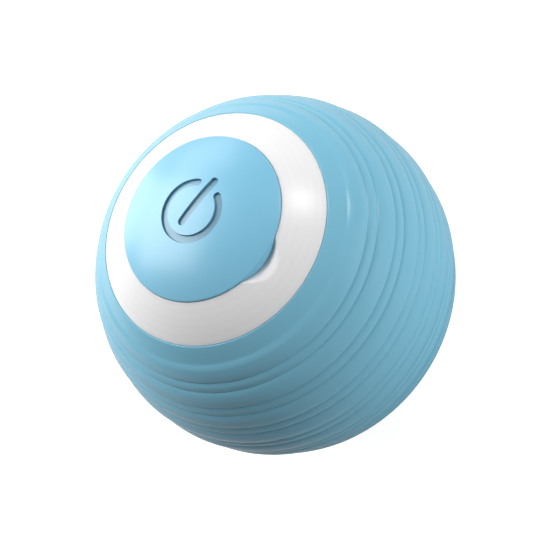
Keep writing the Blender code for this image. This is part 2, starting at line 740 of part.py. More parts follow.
def make_charging_socket(steel, black):
    """Socket that stands up through the board with its mouth to the cap."""
    low = SOCKET_TOP - SOCKET_HEIGHT
    place = Matrix.Translation((-SOCKET_PLACE, 0, 0))
    outer = rounded_rectangle(SOCKET_WIDTH, SOCKET_LENGTH, SOCKET_CORNER)
    mouth = rounded_rectangle(
        SOCKET_WIDTH - 2 * SOCKET_RIM, SOCKET_LENGTH - 2 * SOCKET_RIM, SOCKET_CORNER - SOCKET_RIM
    )
    socket = prism("charging_socket", outer, low, SOCKET_TOP, steel, place)
    floor = low + SOCKET_FLOOR
    cut(socket, prism("socket_mouth", mouth, floor, SOCKET_TOP + OVERRUN, matrix=place))
    half_x = TONGUE_THICKNESS / 2
    half_y = TONGUE_LENGTH / 2
    box(
        "socket_tongue",
        (-SOCKET_PLACE - half_x, -half_y, floor + SEAT_GAP),
        (half_x - SOCKET_PLACE, half_y, SOCKET_TOP - TONGUE_DROP),
        black,
    )


def make_chips(black):
    half = CHIP_SIZE / 2
    low = BOARD_LOW - SEAT_GAP - CHIP_HEIGHT
    high = BOARD_LOW - SEAT_GAP
    box("control_chip", (-half, CHIP_PLACE - half, low), (half, CHIP_PLACE + half, high), black)
    half_x = SMALL_CHIP_LENGTH / 2
    half_y = SMALL_CHIP_WIDTH / 2
    box(
        "charge_chip",
        (-half_x, -CHIP_PLACE - half_y, low),
        (half_x, half_y - CHIP_PLACE, high),
        black,
    )


def gear_outline(teeth, phase):
    """Involute teeth round a circle, with one tooth centred on the angle phase."""
    pitch = teeth * MODULE / 2
    base = pitch * math.cos(PRESSURE_ANGLE)
    root = pitch - DEDENDUM
    top = pitch + ADDENDUM
    half_at_pitch = (math.pi * MODULE - BACKLASH) / (4 * pitch)

    def half_width(radius):
        roll = math.acos(min(base / radius, 1.0))
        grown = math.tan(PRESSURE_ANGLE) - PRESSURE_ANGLE
        return half_at_pitch + grown - math.tan(roll) + roll

    flank = max(base, root)
    radii = [(root, half_width(flank)), (flank, half_width(flank)), (top, half_width(top))]
    if root >= base:
        radii = radii[1:]
    points = []
    for tooth in range(teeth):
        centre = phase + math.tau * tooth / teeth
        sides = [(r, centre - half) for r, half in radii]
        sides += [(r, centre + half) for r, half in reversed(radii)]
        points += [(r * math.cos(a), r * math.sin(a)) for r, a in sides]
    return points


def make_gears(nylon, brass, steel):
    """Pinion, compound gear and output gear, in mesh along their lines of centres."""
    to_motor = math.atan2(-MOTOR_DROP - IDLER_Z, -IDLER_Y)
    pinion_place = (0, 0, -MOTOR_DROP)
    idler_place = (0, IDLER_Y, IDLER_Z)

    radius = DRIVE_SHAFT_RADIUS + RUN_GAP
    bore = rod("output_bore", radius, 0, WEIGHT_LOW, SMALL_SIDES, direction=(1, 0, 0))
    output = along_x(
        "output_gear", gear_outline(OUTPUT_TEETH, IDLER_ANGLE), OUTPUT_LOW, OUTPUT_HIGH, nylon
    )
    hub = along_x(
        "output_hub", circle(HUB_RADIUS, SMALL_SIDES), OUTPUT_LOW, OUTPUT_HIGH + GEAR_SIDE_GAP / 2
    )
    cut(join(output, hub), bore)

    gap_phase = IDLER_ANGLE + math.pi + math.pi / SMALL_TEETH
    compound = along_x(
        "compound_gear", gear_outline(LARGE_TEETH, to_motor), LARGE_LOW, LARGE_HIGH, nylon, idler_place
    )
    small = along_x(
        "small_gear",
        gear_outline(SMALL_TEETH, gap_phase),
        LARGE_HIGH - GEAR_SIDE_GAP,
        OUTPUT_HIGH,
        location=idler_place,
    )
    pin_bore = rod(
        "idler_bore",
        IDLER_PIN_RADIUS + RUN_GAP,
        0,
        COVER_HIGH,
        SMALL_SIDES,
        direction=(1, 0, 0),
        location=idler_place,
    )
    cut(join(compound, small), pin_bore)
    rod(
        "idler_pin",
        IDLER_PIN_RADIUS,
        -PLATE_BACK,
        COVER_HIGH,
        SMALL_SIDES,
        steel,
        (1, 0, 0),
        idler_place,
    )

    gap_phase = to_motor + math.pi + math.pi / PINION_TEETH
    pinion = along_x(
        "pinion",
        gear_outline(PINION_TEETH, gap_phase),
        LARGE_LOW - GEAR_SIDE_GAP / 2,
        LARGE_HIGH + GEAR_SIDE_GAP / 2,
        brass,
        pinion_place,
    )
    shaft_bore = rod(
        "pinion_bore",
        MOTOR_SHAFT_RADIUS + RUN_GAP,
        PLATE_FRONT,
        COVER_LOW,
        SCREW_SIDES,
        direction=(1, 0, 0),
        location=pinion_place,
    )
    cut(pinion, shaft_bore)
    rod(
        "motor_shaft",
        MOTOR_SHAFT_RADIUS,
        MOTOR_FRONT - MOTOR_SHAFT_DEPTH,
        OUTPUT_LOW,
        SCREW_SIDES,
        steel,
        (1, 0, 0),
        pinion_place,
    )


def make_motor(steel, white):
    """Small can motor behind the motor plate, with the boss round its shaft and its end cap."""
    shaft_hole = MOTOR_SHAFT_RADIUS + RUN_GAP
    boss_front = MOTOR_FRONT + MOTOR_BOSS_HEIGHT
    hole_end = MOTOR_FRONT - MOTOR_SHAFT_DEPTH - SEAT_GAP
    outline = [
        (0, MOTOR_REAR),
        (MOTOR_RADIUS, MOTOR_REAR),
        (MOTOR_RADIUS, MOTOR_FRONT - CAN_CHAMFER),
        (MOTOR_RADIUS - CAN_CHAMFER, MOTOR_FRONT),
        (MOTOR_BOSS_RADIUS, MOTOR_FRONT),
        (MOTOR_BOSS_RADIUS, boss_front),
        (shaft_hole, boss_front),
        (shaft_hole, hole_end),
        (0, hole_end),
    ]
    place = (0, 0, -MOTOR_DROP)
    turned("motor_can", outline, SMALL_SIDES, steel, (1, 0, 0), place)
    cap_high = MOTOR_REAR - SEAT_GAP
    cap_low = cap_high - END_CAP_THICKNESS
    rod("motor_end_cap", END_CAP_RADIUS, cap_low, cap_high, SMALL_SIDES, white, (1, 0, 0), place)


def plate_round(name, discs, low, high, material=None):
    """A plate along X whose edge wraps round a set of discs, given as (y, z, radius)."""
    bm = bmesh.new()
    for y, z, radius in discs:
        for x in (low, high):
            for py, pz in circle(radius, SMALL_SIDES, (y, z)):
                bm.verts.new((x, py, pz))
    hull = bmesh.ops.convex_hull(bm, input=bm.verts)
    inside = [v for v in hull["geom_interior"] if isinstance(v, bmesh.types.BMVert)]
    bmesh.ops.delete(bm, geom=inside, context="VERTS")
    bmesh.ops.dissolve_limit(
        bm, angle_limit=math.radians(1), verts=bm.verts, edges=bm.edges
    )
    return add_object(name, bm, material)


def make_gear_frame(grey):
    """Motor plate with its collar, the battery tray over the motor, and two screwed ears."""
    post = POST_RADIUS + PLATE_MARGIN / 4
    collar_outer = MOTOR_RADIUS + SEAT_GAP + COLLAR_WALL
    discs = [(y, z, post) for y, z in COVER_POSTS]
    discs += [
        (0, 0, BUSH_RADIUS + PLATE_MARGIN),
        (0, -MOTOR_DROP, collar_outer),
        (IDLER_Y, IDLER_Z, IDLER_PIN_RADIUS + PLATE_MARGIN),
    ]
    frame = plate_round("gear_frame", discs, -PLATE_BACK, PLATE_FRONT, grey)

    collar = rod(
        "collar",
        collar_outer,
        -PLATE_BACK - COLLAR_LENGTH,
        PLATE_FRONT - PLATE / 2,
        SMALL_SIDES,
        direction=(1, 0, 0),
        location=(0, 0, -MOTOR_DROP),
    )
    join(frame, collar)

    tray_low = TRAY_TOP - COLLAR_WALL
    tray_rear = BATTERY_REAR - SEAT_GAP - COLLAR_WALL
    inner_side = BATTERY_WIDTH / 2 + SEAT_GAP
    side = inner_side + COLLAR_WALL
    into_plate = -PLATE_BACK + PLATE / 2
    tray = box("tray", (tray_rear, -side, tray_low), (into_plate, side, TRAY_TOP + TRAY_WALL_HEIGHT))
    hollow = box(
        "tray_hollow",
        (tray_rear + COLLAR_WALL, -inner_side, TRAY_TOP),
        (-PLATE_BACK, inner_side, TRAY_TOP + TRAY_WALL_HEIGHT + OVERRUN),
    )
    join(frame, cut(tray, hollow))

    for sign in (1, -1):
        reach = EAR_SIDE + POST_RADIUS
        low_y, high_y = sorted((sign * (inner_side + COLLAR_WALL / 2), sign * reach))
        ear = box(
            f"ear_{sign}",
            (-EAR_BACK - POST_RADIUS, low_y, -EAR_DROP - EAR_THICKNESS),
            (-EAR_BACK + POST_RADIUS, high_y, -EAR_DROP),
        )
        join(frame, ear)
        hole = rod(
            f"ear_hole_{sign}",
            SMALL_SCREW_RADIUS + RUN_GAP,
            -EAR_DROP - EAR_THICKNESS - OVERRUN,
            -EAR_DROP + OVERRUN,
            SCREW_SIDES,
            location=(-EAR_BACK, sign * EAR_SIDE, 0),
        )
        cut(frame, hole)

    for i, (y, z) in enumerate(COVER_POSTS):
        post = rod(
            f"cover_post_{i}",
            POST_RADIUS,
            -PLATE_BACK + PLATE / 2,
            COVER_LOW - SEAT_GAP,
            SMALL_SIDES,
            direction=(1, 0, 0),
            location=(0, y, z),
        )
        join(frame, post)
        hole = rod(
            f"cover_post_hole_{i}",
            SMALL_SCREW_RADIUS + RUN_GAP,
            COVER_HIGH - COVER_SCREW_LENGTH,
            COVER_HIGH,
            SCREW_SIDES,
            direction=(1, 0, 0),
            location=(0, y, z),
        )
        cut(frame, hole)

    bores = [
        ("bush_bore", BUSH_RADIUS + RUN_GAP, (0, 0, 0), -PLATE_BACK - OVERRUN),
        ("motor_bore", MOTOR_BOSS_RADIUS + SEAT_GAP, (0, 0, -MOTOR_DROP), -PLATE_BACK - OVERRUN),
        ("idler_seat", IDLER_PIN_RADIUS + RUN_GAP, (0, IDLER_Y, IDLER_Z), -PLATE_BACK - OVERRUN),
    ]
    for name, radius, place, low in bores:
        cut(frame, rod(name, radius, low, PLATE_FRONT + OVERRUN, SMALL_SIDES, None, (1, 0, 0), place))
    can_room = rod(
        "can_room",
        MOTOR_RADIUS + SEAT_GAP,
        MOTOR_REAR - OVERRUN,
        -PLATE_BACK,
        SMALL_SIDES,
        direction=(1, 0, 0),
        location=(0, 0, -MOTOR_DROP),
    )
    cut(frame, can_room)


def make_gearbox_cover(grey, steel):
    """Plate over the gears, on three posts of the frame, with its screws."""
    margin = POST_RADIUS + PLATE_MARGIN / 4
    discs = [(y, z, margin) for y, z in COVER_POSTS]
    discs += [
        (0, 0, HUB_RADIUS + PLATE_MARGIN),
        (IDLER_Y, IDLER_Z, IDLER_PIN_RADIUS + PLATE_MARGIN),
    ]
    cover = plate_round("gearbox_cover", discs, COVER_LOW, COVER_HIGH, grey)
    holes = [(0, 0, DRIVE_SHAFT_RADIUS + 2 * RUN_GAP), (IDLER_Y, IDLER_Z, IDLER_PIN_RADIUS + RUN_GAP)]
    holes += [(y, z, SMALL_SCREW_RADIUS + RUN_GAP) for y, z in COVER_POSTS]
    for i, (y, z, radius) in enumerate(holes):
        hole = rod(
            f"cover_hole_{i}",
            radius,
            COVER_LOW - OVERRUN,
            COVER_HIGH + OVERRUN,
            SMALL_SIDES,
            direction=(1, 0, 0),
            location=(0, y, z),
        )
        cut(cover, hole)
    for i, (y, z) in enumerate(COVER_POSTS):
        screw(
            f"cover_screw_{i + 1}",
            (COVER_HIGH + SEAT_GAP, y, z),
            (1, 0, 0),
            SMALL_SCREW_RADIUS,
            SMALL_SCREW_HEAD,
            SMALL_SCREW_HEAD_HEIGHT,
            COVER_SCREW_LENGTH,
            steel,
        )


def make_frame_screws(steel):
    for i, side in enumerate((1, -1)):
        screw(
            f"frame_screw_{i + 1}",
            (-EAR_BACK, side * EAR_SIDE, SEAT_GAP - EAR_DROP),
            (0, 0, 1),
            SMALL_SCREW_RADIUS,
            SMALL_SCREW_HEAD,
            SMALL_SCREW_HEAD_HEIGHT,
            FRAME_SCREW_LENGTH,
            steel,
        )


def make_drive(steel, zinc, bronze):
    """Drive shaft in two bushes, with the half-round weight that hangs from it."""
    bore = DRIVE_SHAFT_RADIUS + RUN_GAP
    end = PEDESTAL_HIGH + SEAT_GAP
    rod("drive_shaft", DRIVE_SHAFT_RADIUS, -PLATE_BACK, end, SMALL_SIDES, steel, (1, 0, 0))
    inner = sleeve_of(bore, BUSH_RADIUS, -PLATE_BACK, PLATE_FRONT)
    turned("bush_inner", inner, SMALL_SIDES, bronze, (1, 0, 0))
    outer = sleeve_of(bore, BUSH_RADIUS, PEDESTAL_LOW - SEAT_GAP, end)
    turned("bush_outer", outer, SMALL_SIDES, bronze, (1, 0, 0))

    outline = circle(WEIGHT_RADIUS, 29, start=math.pi, sweep=math.pi)
    outline += circle(WEIGHT_HUB, 11, start=0, sweep=math.pi)
    weight = along_x("drive_weight", outline, WEIGHT_LOW, WEIGHT_HIGH, zinc)
    cut(weight, rod("weight_bore", bore, COVER_HIGH, PEDESTAL_HIGH, SMALL_SIDES, None, (1, 0, 0)))
    middle = (WEIGHT_LOW + WEIGHT_HIGH) / 2
    hole = SMALL_SCREW_RADIUS + RUN_GAP
    place = (middle, 0, 0)
    cut(weight, rod("grub_hole", hole, 0, WEIGHT_HUB + OVERRUN, SCREW_SIDES, location=place))
    low = DRIVE_SHAFT_RADIUS + SEAT_GAP
    rod("weight_screw", SMALL_SCREW_RADIUS, low, WEIGHT_HUB, SCREW_SIDES, steel, location=place)


def make_battery(silver, foam):
    """Pouch cell on a foam pad in the tray."""
    middle = (BATTERY_FRONT + BATTERY_REAR) / 2
    place = Matrix.Translation((middle, 0, 0))
    outline = rounded_rectangle(BATTERY_LENGTH, BATTERY_WIDTH, BATTERY_CORNER)
    prism("battery", outline, BATTERY_LOW, BATTERY_HIGH, silver, place)
    half_x = BATTERY_LENGTH / 2 - PAD_INSET
    half_y = BATTERY_WIDTH / 2 - PAD_INSET
    box(
        "battery_pad",
        (middle - half_x, -half_y, PAD_LOW),
        (middle + half_x, half_y, PAD_LOW + PAD_THICKNESS),
        foam,
    )


def smooth_route(places):
    """Evenly spaced points on a smooth curve through these places."""
    ends = [2 * places[0] - places[1], *places, 2 * places[-1] - places[-2]]
    points = []
    for a, b, c, d in zip(ends, ends[1:], ends[2:], ends[3:]):
        steps = max(1, round((c - b).length / LEAD_STEP))
        for i in range(steps):
            t = i / steps
            square = 2 * a - 5 * b + 4 * c - d
            cube = 3 * b - a - 3 * c + d
            points.append((2 * b + (c - a) * t + square * t**2 + cube * t**3) / 2)
    return [*points, places[-1]]


def lead(name, places, material):
    """An insulated wire along a route."""
    curve = bpy.data.curves.new(name, "CURVE")
    curve.dimensions = "3D"
    curve.bevel_depth = LEAD_RADIUS
    curve.bevel_resolution = 2
    curve.use_fill_caps = True
    points = smooth_route([Vector(place) for place in places])
    spline = curve.splines.new("POLY")
    spline.points.add(len(points) - 1)
    for target, point in zip(spline.points, points):
        target.co = (*point, 1.0)
    curve.materials.append(material)
    obj = bpy.data.objects.new(name, curve)
    bpy.context.scene.collection.objects.link(obj)


def board_places(y):
    """The last two places of a lead, straight up to the board beside the ledge."""
    x = math.sqrt((LEDGE_RADIUS - 2 * LEAD_RADIUS) ** 2 - y**2)
    end = BOARD_LOW - SEAT_GAP
    return [(-x, y, end - 2 * LEAD_STRAIGHT), (-x, y, end)]


def make_leads(red, black):
    """Motor and battery leads, up the inside of the shell to the board."""
    reach = SHELL_INNER - LEAD_INSET
    motor_end = MOTOR_REAR - SEAT_GAP - END_CAP_THICKNESS - SEAT_GAP
    cell_end = BATTERY_REAR - SEAT_GAP
    cell_height = (BATTERY_LOW + BATTERY_HIGH) / 2 + BATTERY_LEAD_RISE
    for number, (side, colour) in enumerate(((1, red), (-1, black))):
        y = side * MOTOR_LEAD_SIDE
        places = [(motor_end, y, -MOTOR_DROP), (motor_end - LEAD_STRAIGHT, y, -MOTOR_DROP)]
        for angle in MOTOR_LEAD_ANGLES:
            x, z = polar(reach, angle)
            places.append((-x, y, z))
        lead(f"motor_lead_{number + 1}", places + board_places(y), colour)
        y = side * BATTERY_LEAD_SIDE
        places = [(cell_end, y, cell_height), (cell_end - LEAD_STRAIGHT, y, cell_height)]
        for angle in BATTERY_LEAD_ANGLES:
            x, z = polar(reach - LEAD_STRAIGHT, angle)
            places.append((-x, y, z))
        lead(f"battery_lead_{number + 1}", places + board_places(y), colour)


def main():
    clear_scene()
    blue_silicone = finish("blue_silicone", (0.24, 0.56, 0.72), 0.42)
    blue_plastic = finish("blue_plastic", (0.24, 0.56, 0.72), 0.34)
    milky = finish("milky_plastic", (0.86, 0.87, 0.88), 0.12)
    white = finish("white_plastic", (0.78, 0.79, 0.8), 0.4)
    grey = finish("grey_plastic", (0.3, 0.31, 0.33), 0.45)
    nylon = finish("nylon", (0.82, 0.8, 0.72), 0.4)
    black = finish("black_plastic", (0.03, 0.03, 0.035), 0.4)
    green = finish("board_green", (0.02, 0.2, 0.09), 0.35)
    warm = finish("lamp", (0.95, 0.85, 0.45), 0.25)
    red_wire = finish("red_wire", (0.6, 0.04, 0.03), 0.4)
    black_wire = finish("black_wire", (0.03, 0.03, 0.03), 0.4)
    foam = finish("foam", (0.12, 0.12, 0.12), 0.9)
    silver = finish("silver_pouch", (0.7, 0.71, 0.72), 0.3, 0.6)
    steel = finish("steel", (0.62, 0.62, 0.63), 0.25, 1.0)
    tin = finish("tin", (0.7, 0.7, 0.7), 0.3, 1.0)
    zinc = finish("zinc", (0.5, 0.5, 0.51), 0.4, 1.0)
    brass = finish("brass", (0.75, 0.55, 0.22), 0.3, 1.0)
    bronze = finish("bronze", (0.55, 0.36, 0.17), 0.4, 1.0)

    make_sleeve(blue_silicone)
    make_shells(white)
    make_shell_screws(steel)
    make_light_ring(milky)
    make_power_button(blue_plastic)
    make_cap_carrier(white)
    make_board(green, steel)
    make_lamps(warm)
    make_switch(black, tin)
    make_charging_socket(steel, black)
    make_chips(black)
    make_gears(nylon, brass, steel)
    make_motor(steel, white)
    make_gear_frame(grey)
    make_gearbox_cover(grey, steel)
    make_frame_screws(steel)
    make_drive(steel, zinc, bronze)
    make_battery(silver, foam)
    make_leads(red_wire, black_wire)


main()
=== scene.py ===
"""Self rolling cat ball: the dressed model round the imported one, put together from the inside out.

Metres, in the part's own frame. The origin is the centre of the ball, +Z runs out through the
disc, +X points at the nail scoop and +Y at the top of the power mark.
"""

import math

import bmesh
import bpy
from mathutils import Matrix, Vector


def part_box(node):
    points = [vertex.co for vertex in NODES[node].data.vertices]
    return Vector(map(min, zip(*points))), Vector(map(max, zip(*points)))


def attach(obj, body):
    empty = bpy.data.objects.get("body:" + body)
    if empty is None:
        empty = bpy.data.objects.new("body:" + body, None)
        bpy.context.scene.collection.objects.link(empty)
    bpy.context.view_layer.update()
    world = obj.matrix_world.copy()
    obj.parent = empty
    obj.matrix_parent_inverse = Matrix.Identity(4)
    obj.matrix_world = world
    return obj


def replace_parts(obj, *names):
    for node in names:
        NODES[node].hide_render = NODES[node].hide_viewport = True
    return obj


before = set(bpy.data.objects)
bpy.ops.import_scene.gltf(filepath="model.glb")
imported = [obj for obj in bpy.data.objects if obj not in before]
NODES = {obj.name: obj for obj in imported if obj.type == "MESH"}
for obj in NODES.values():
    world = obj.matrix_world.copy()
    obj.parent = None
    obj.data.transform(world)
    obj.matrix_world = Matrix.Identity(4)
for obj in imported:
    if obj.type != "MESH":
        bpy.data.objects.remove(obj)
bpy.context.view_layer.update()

# Lower and upper shell. The rigid ball is two half shells moulded in white ABS,
# with a fine spark-eroded grain on their faces, closed by four long screws.
MM = 0.001


class Wire:
    """A shader socket. Arithmetic and comparisons on it add Math nodes to its finish."""

    def __init__(self, finish, socket):
        self.finish = finish
        self.socket = socket

    def __add__(self, other):
        return self.finish.maths("ADD", self, other)

    def __sub__(self, other):
        return self.finish.maths("SUBTRACT", self, other)

    def __rsub__(self, other):
        return self.finish.maths("SUBTRACT", other, self)

    def __mul__(self, other):
        return self.finish.maths("MULTIPLY", self, other)

    def __lt__(self, other):
        return self.finish.maths("LESS_THAN", self, other)

    def __gt__(self, other):
        return self.finish.maths("GREATER_THAN", self, other)

    __radd__ = __add__
    __rmul__ = __mul__


class Finish:
    """A material while its nodes are laid."""

    def __init__(self, name, constants):
        self.material = bpy.data.materials.new(name)
        self.material.use_nodes = True
        self.tree = self.material.node_tree
        self.shader = self.tree.nodes["Principled BSDF"]
        self.dress(constants)
        self.place = self.node("ShaderNodeTexCoord", out="Object")

    def plug(self, node, sockets):
        for key, value in sockets.items():
            if isinstance(value, Wire):
                self.tree.links.new(value.socket, node.inputs[key])
            else:
                node.inputs[key].default_value = value

    def dress(self, sockets):
        """Values or links for the shader's own sockets."""
        self.plug(self.shader, sockets)

    def node(self, kind, settings={}, sockets={}, out=0):
        """Any node: its settings, then the values or links of its sockets."""
        made = self.tree.nodes.new(kind)
        for key, value in settings.items():
            setattr(made, key, value)
        self.plug(made, sockets)
        return Wire(self, made.outputs[out])

    def maths(self, operation, a, b):
        return self.node("ShaderNodeMath", {"operation": operation}, {0: a, 1: b})

    def noise(self, scale, detail=3.0, roughness=0.5, place=None):
        """Noise from 0 to 1, with this many grains to the metre."""
        sockets = {"Vector": place or self.place, "Scale": scale, "Detail": detail}
        return self.node("ShaderNodeTexNoise", {}, {**sockets, "Roughness": roughness})

    def from_centre(self):
        """How far the surface lies from the centre of the ball."""
        return self.node("ShaderNodeVectorMath", {"operation": "LENGTH"}, {0: self.place}, "Value")

    def between(self, factor, a, b):
        """The colour that is a where the factor is 0 and b where it is 1."""
        return self.node("ShaderNodeMix", {"data_type": "RGBA"}, {0: factor, 6: a, 7: b}, 2)

    def relief(self, height, depth):
        """Fine relief of this depth in metres, into the shader's normal."""
        bump = self.node("ShaderNodeBump", {}, {"Height": height, "Distance": depth})
        self.dress({"Normal": bump})


def srgb(red, green, blue):
    """The linear colour of three 8-bit values, as a colour reads on a screen."""
    def linear(value):
        share = value / 255
        return share / 12.92 if share <= 0.04045 else ((share + 0.055) / 1.055) ** 2.4
    return (linear(red), linear(green), linear(blue), 1.0)


def scaled(colour, share):
    """The same colour, lighter or darker."""
    return (colour[0] * share, colour[1] * share, colour[2] * share, 1.0)


def moulded(name, colour, roughness, grain=2600.0, depth=0.006 * MM):
    """Moulded plastic: a fine eroded grain, faint flow marks and slightly uneven gloss."""
    finish = Finish(name, {"IOR": 1.5})
    flow = finish.noise(110.0, 4.0, 0.6)
    fine = finish.noise(grain, 2.0)
    finish.dress({
        "Base Color": finish.between(flow, scaled(colour, 0.96), scaled(colour, 1.03)),
        "Roughness": roughness + (flow - 0.5) * 0.12 + (fine - 0.5) * 0.08,
    })
    finish.relief(fine, depth)
    return finish.material


def wear(material, *names):
    """Puts a finish on CAD nodes whose shape is already right."""
    for name in names:
        mesh = NODES[name].data
        mesh.materials.clear()
        mesh.materials.append(material)


white_plastic = moulded("white_plastic", srgb(226, 228, 230), 0.42)
wear(white_plastic, "upper_shell", "lower_shell")

# Screws. Small pan head screws in nickel-plated steel, rolled and then barrelled,
# so that they are bright, with fine uneven marks all over.


def plated(name, colour, roughness, streak=(1.0, 1.0, 1.0), depth=0.002 * MM):
    """Bare or plated metal, with tool marks stretched by the streak."""
    finish = Finish(name, {"Metallic": 1.0})
    drawn = finish.node("ShaderNodeMapping", {}, {"Vector": finish.place, "Scale": streak})
    marks = finish.noise(3500.0, 3.0, 0.6, drawn)
    stain = finish.noise(260.0, 4.0, 0.6)
    finish.dress({
        "Base Color": finish.between(stain, scaled(colour, 0.86), scaled(colour, 1.04)),
        "Roughness": roughness + (marks - 0.5) * 0.18 + (stain - 0.5) * 0.12,
    })
    finish.relief(marks, depth)
    return finish.material


steel = plated("steel", srgb(196, 198, 202), 0.26)
for set_name, count in (("board", 3), ("shell", 4), ("cover", 3), ("frame", 2)):
    wear(steel, *[f"{set_name}_screw_{i + 1}" for i in range(count)])
wear(steel, "weight_screw")

# Motor. A drawn steel can with a white nylon end cap crimped into it, and a ground
# shaft that carries a turned brass pinion.
can_steel = plated("can_steel", srgb(188, 190, 194), 0.3, (0.08, 1.0, 1.0))
wear(can_steel, "motor_can")
wear(steel, "motor_shaft")
wear(white_plastic, "motor_end_cap")
brass = plated("brass", srgb(214, 178, 96), 0.28, (0.15, 1.0, 1.0))
wear(brass, "pinion")

# Gear train. The compound and output gears are moulded in natural nylon and run
# on a ground steel pin and the drive shaft.
nylon = moulded("nylon", srgb(236, 231, 214), 0.38, 1900.0, 0.004 * MM)
wear(nylon, "compound_gear", "output_gear")
wear(steel, "idler_pin", "drive_shaft")

# Gear frame and gearbox cover. Moulded in grey ABS, with a dull eroded face where
# nothing runs against it.
grey_plastic = moulded("grey_plastic", srgb(112, 115, 120), 0.5, 2200.0, 0.01 * MM)
wear(grey_plastic, "gear_frame", "gearbox_cover")

# Drive weight and its bushes. The weight is a zinc die casting, with a dull skin,
# and the bushes are pressed from oiled bronze powder.
zinc = plated("zinc", srgb(160, 162, 166), 0.46, depth=0.012 * MM)
wear(zinc, "drive_weight")
bronze = plated("bronze", srgb(176, 132, 84), 0.5, depth=0.015 * MM)
wear(bronze, "bush_inner", "bush_outer")

# Battery. A lithium pouch cell in laminated foil, on a pad of black foam tape, with
# two insulated leads like the motor's.


def pouch_foil(name, colour):
    """Aluminium laminate under clear nylon, with the creases of its forming."""
    finish = Finish(name, {"Metallic": 0.75})
    crease = finish.noise(420.0, 5.0, 0.65)
    mottle = finish.noise(1500.0, 2.0)
    # The colour is darker in the hollows of the creases' relief: painted shade in the creases
    finish.dress({
        "Base Color": finish.between(crease, scaled(colour, 0.9), scaled(colour, 1.05)),
        "Roughness": 0.3 + (mottle - 0.5) * 0.14,
    })
    finish.relief(crease, 0.03 * MM)
    return finish.material


wear(pouch_foil("silver_pouch", srgb(198, 200, 204)), "battery")

foam_black = Finish("foam", {"Roughness": 0.95})
cells = foam_black.node(
    "ShaderNodeTexVoronoi", {}, {"Vector": foam_black.place, "Scale": 5200.0}, "Distance"
)
# The foam is painted darker in the pits of the cells' relief: painted shade in its pores
foam_black.dress({"Base Color": foam_black.between(cells, srgb(22, 22, 23), srgb(64, 64, 66))})
foam_black.relief(cells, 0.05 * MM)
wear(foam_black.material, "battery_pad")

red_wire = moulded("red_wire", srgb(196, 34, 28), 0.34, 900.0, 0.01 * MM)
black_wire = moulded("black_wire", srgb(34, 34, 36), 0.36, 900.0, 0.01 * MM)
wear(red_wire, "battery_lead_1", "motor_lead_1")
wear(black_wire, "battery_lead_2", "motor_lead_2")

# Main board. Glass epoxy under green solder mask, with its copper showing through
# as paler tracks; it carries the chips, four lamps and the charging socket.
board_green = Finish("board_green", {"Roughness": 0.3, "IOR": 1.5})
weave = board_green.node(
    "ShaderNodeTexVoronoi",
    {"distance": "CHEBYCHEV", "feature": "F1"},
    {"Vector": board_green.place, "Scale": 900.0, "Randomness": 1.0},
    "Distance",
)
tracks = (weave > 0.32) * (weave < 0.4)
mask = board_green.noise(300.0)
board_green.dress({
    "Base Color": board_green.between(
        tracks,
        board_green.between(mask, srgb(14, 78, 46), srgb(20, 96, 56)),
        srgb(46, 142, 82),
    ),
})
board_green.relief(tracks, 0.02 * MM)
wear(board_green.material, "main_board")
black_plastic = moulded("black_plastic", srgb(30, 30, 32), 0.45, 3000.0)
wear(black_plastic, "control_chip", "charge_chip", "socket_tongue", "switch_plunger")


def profile_point(bm, radius, height):
    """The first vertex of a profile, which close_round later spins round Z."""
    return bm.verts.new((radius, 0.0, height))


def draw_to(bm, vert, radius, height, steps=1):
    """Draws a profile on in a straight line of equal steps, to a new vertex that it returns."""
    begin, end = vert.co.copy(), Vector((radius, 0.0, height))
    for step in range(steps):
        place = begin.lerp(end, (step + 1) / steps)
        made = bm.verts.new(place)
        bm.edges.new((vert, made))
        vert = made
    return vert


def draw_through(bm, vert, *places):
    """Draws a profile on through each radius and height in turn, and returns its last vertex."""
    for radius, height in places:
        vert = draw_to(bm, vert, radius, height)
    return vert


SAME_PLACE = 0.0005 * MM


def close_round(bm, sides):
    """Turns the profile into a closed skin round Z, with its faces pointing out."""
    bmesh.ops.spin(
        bm,
        geom=bm.verts[:] + bm.edges[:],
        axis=(0, 0, 1),
        angle=math.tau,
        steps=sides,
        use_merge=True,
    )
    bmesh.ops.remove_doubles(bm, verts=bm.verts, dist=SAME_PLACE)
    bmesh.ops.recalc_face_normals(bm, faces=bm.faces)


NEAR = 0.01 * MM


def edges_at(bm, radius, height):
    """The edges that run round the axis through this point of the profile."""
    def there(vert):
        aside = math.hypot(vert.co.x, vert.co.y) - radius
        return abs(aside) < NEAR and abs(vert.co.z - height) < NEAR
    return [e for e in bm.edges if there(e.verts[0]) and there(e.verts[1])]


def soften(bm, edges, width, segments=3):
    """Rounds these edges off by this width."""
    bmesh.ops.bevel(
        bm,
        geom=edges,
        offset=width,
        segments=segments,
        profile=0.5,
        affect="EDGES",
        material=-1,
    )


CRISP_ANGLE = math.radians(40)


def finished(name, bm, material, body):
    """A piece from its bmesh, on its body, with sharp edges only where it turns sharply."""
    mesh = bpy.data.meshes.new(name)
    bm.to_mesh(mesh)
    bm.free()
    mesh.materials.append(material)
    mesh.shade_smooth()
    mesh.set_sharp_from_angle(angle=CRISP_ANGLE)
    piece = bpy.data.objects.new(name, mesh)
    bpy.context.scene.collection.objects.link(piece)
    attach(piece, body)
    return piece


def block(bm, low, high):
    """A cuboid between two corners."""
    low, high = Vector(low), Vector(high)
    place = Matrix.Translation((low + high) / 2) @ Matrix.Diagonal((*(high - low), 1.0))
    return bmesh.ops.create_cube(bm, size=1.0, matrix=place)["verts"]


SOLDERED_LENGTH = 1.6 * MM
SOLDERED_WIDTH = 0.8 * MM
SOLDERED_END = 0.32 * MM
SOLDERED_ROUND = 0.05 * MM
END_PROUD = 0.02 * MM
board_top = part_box("main_board")[1][2]


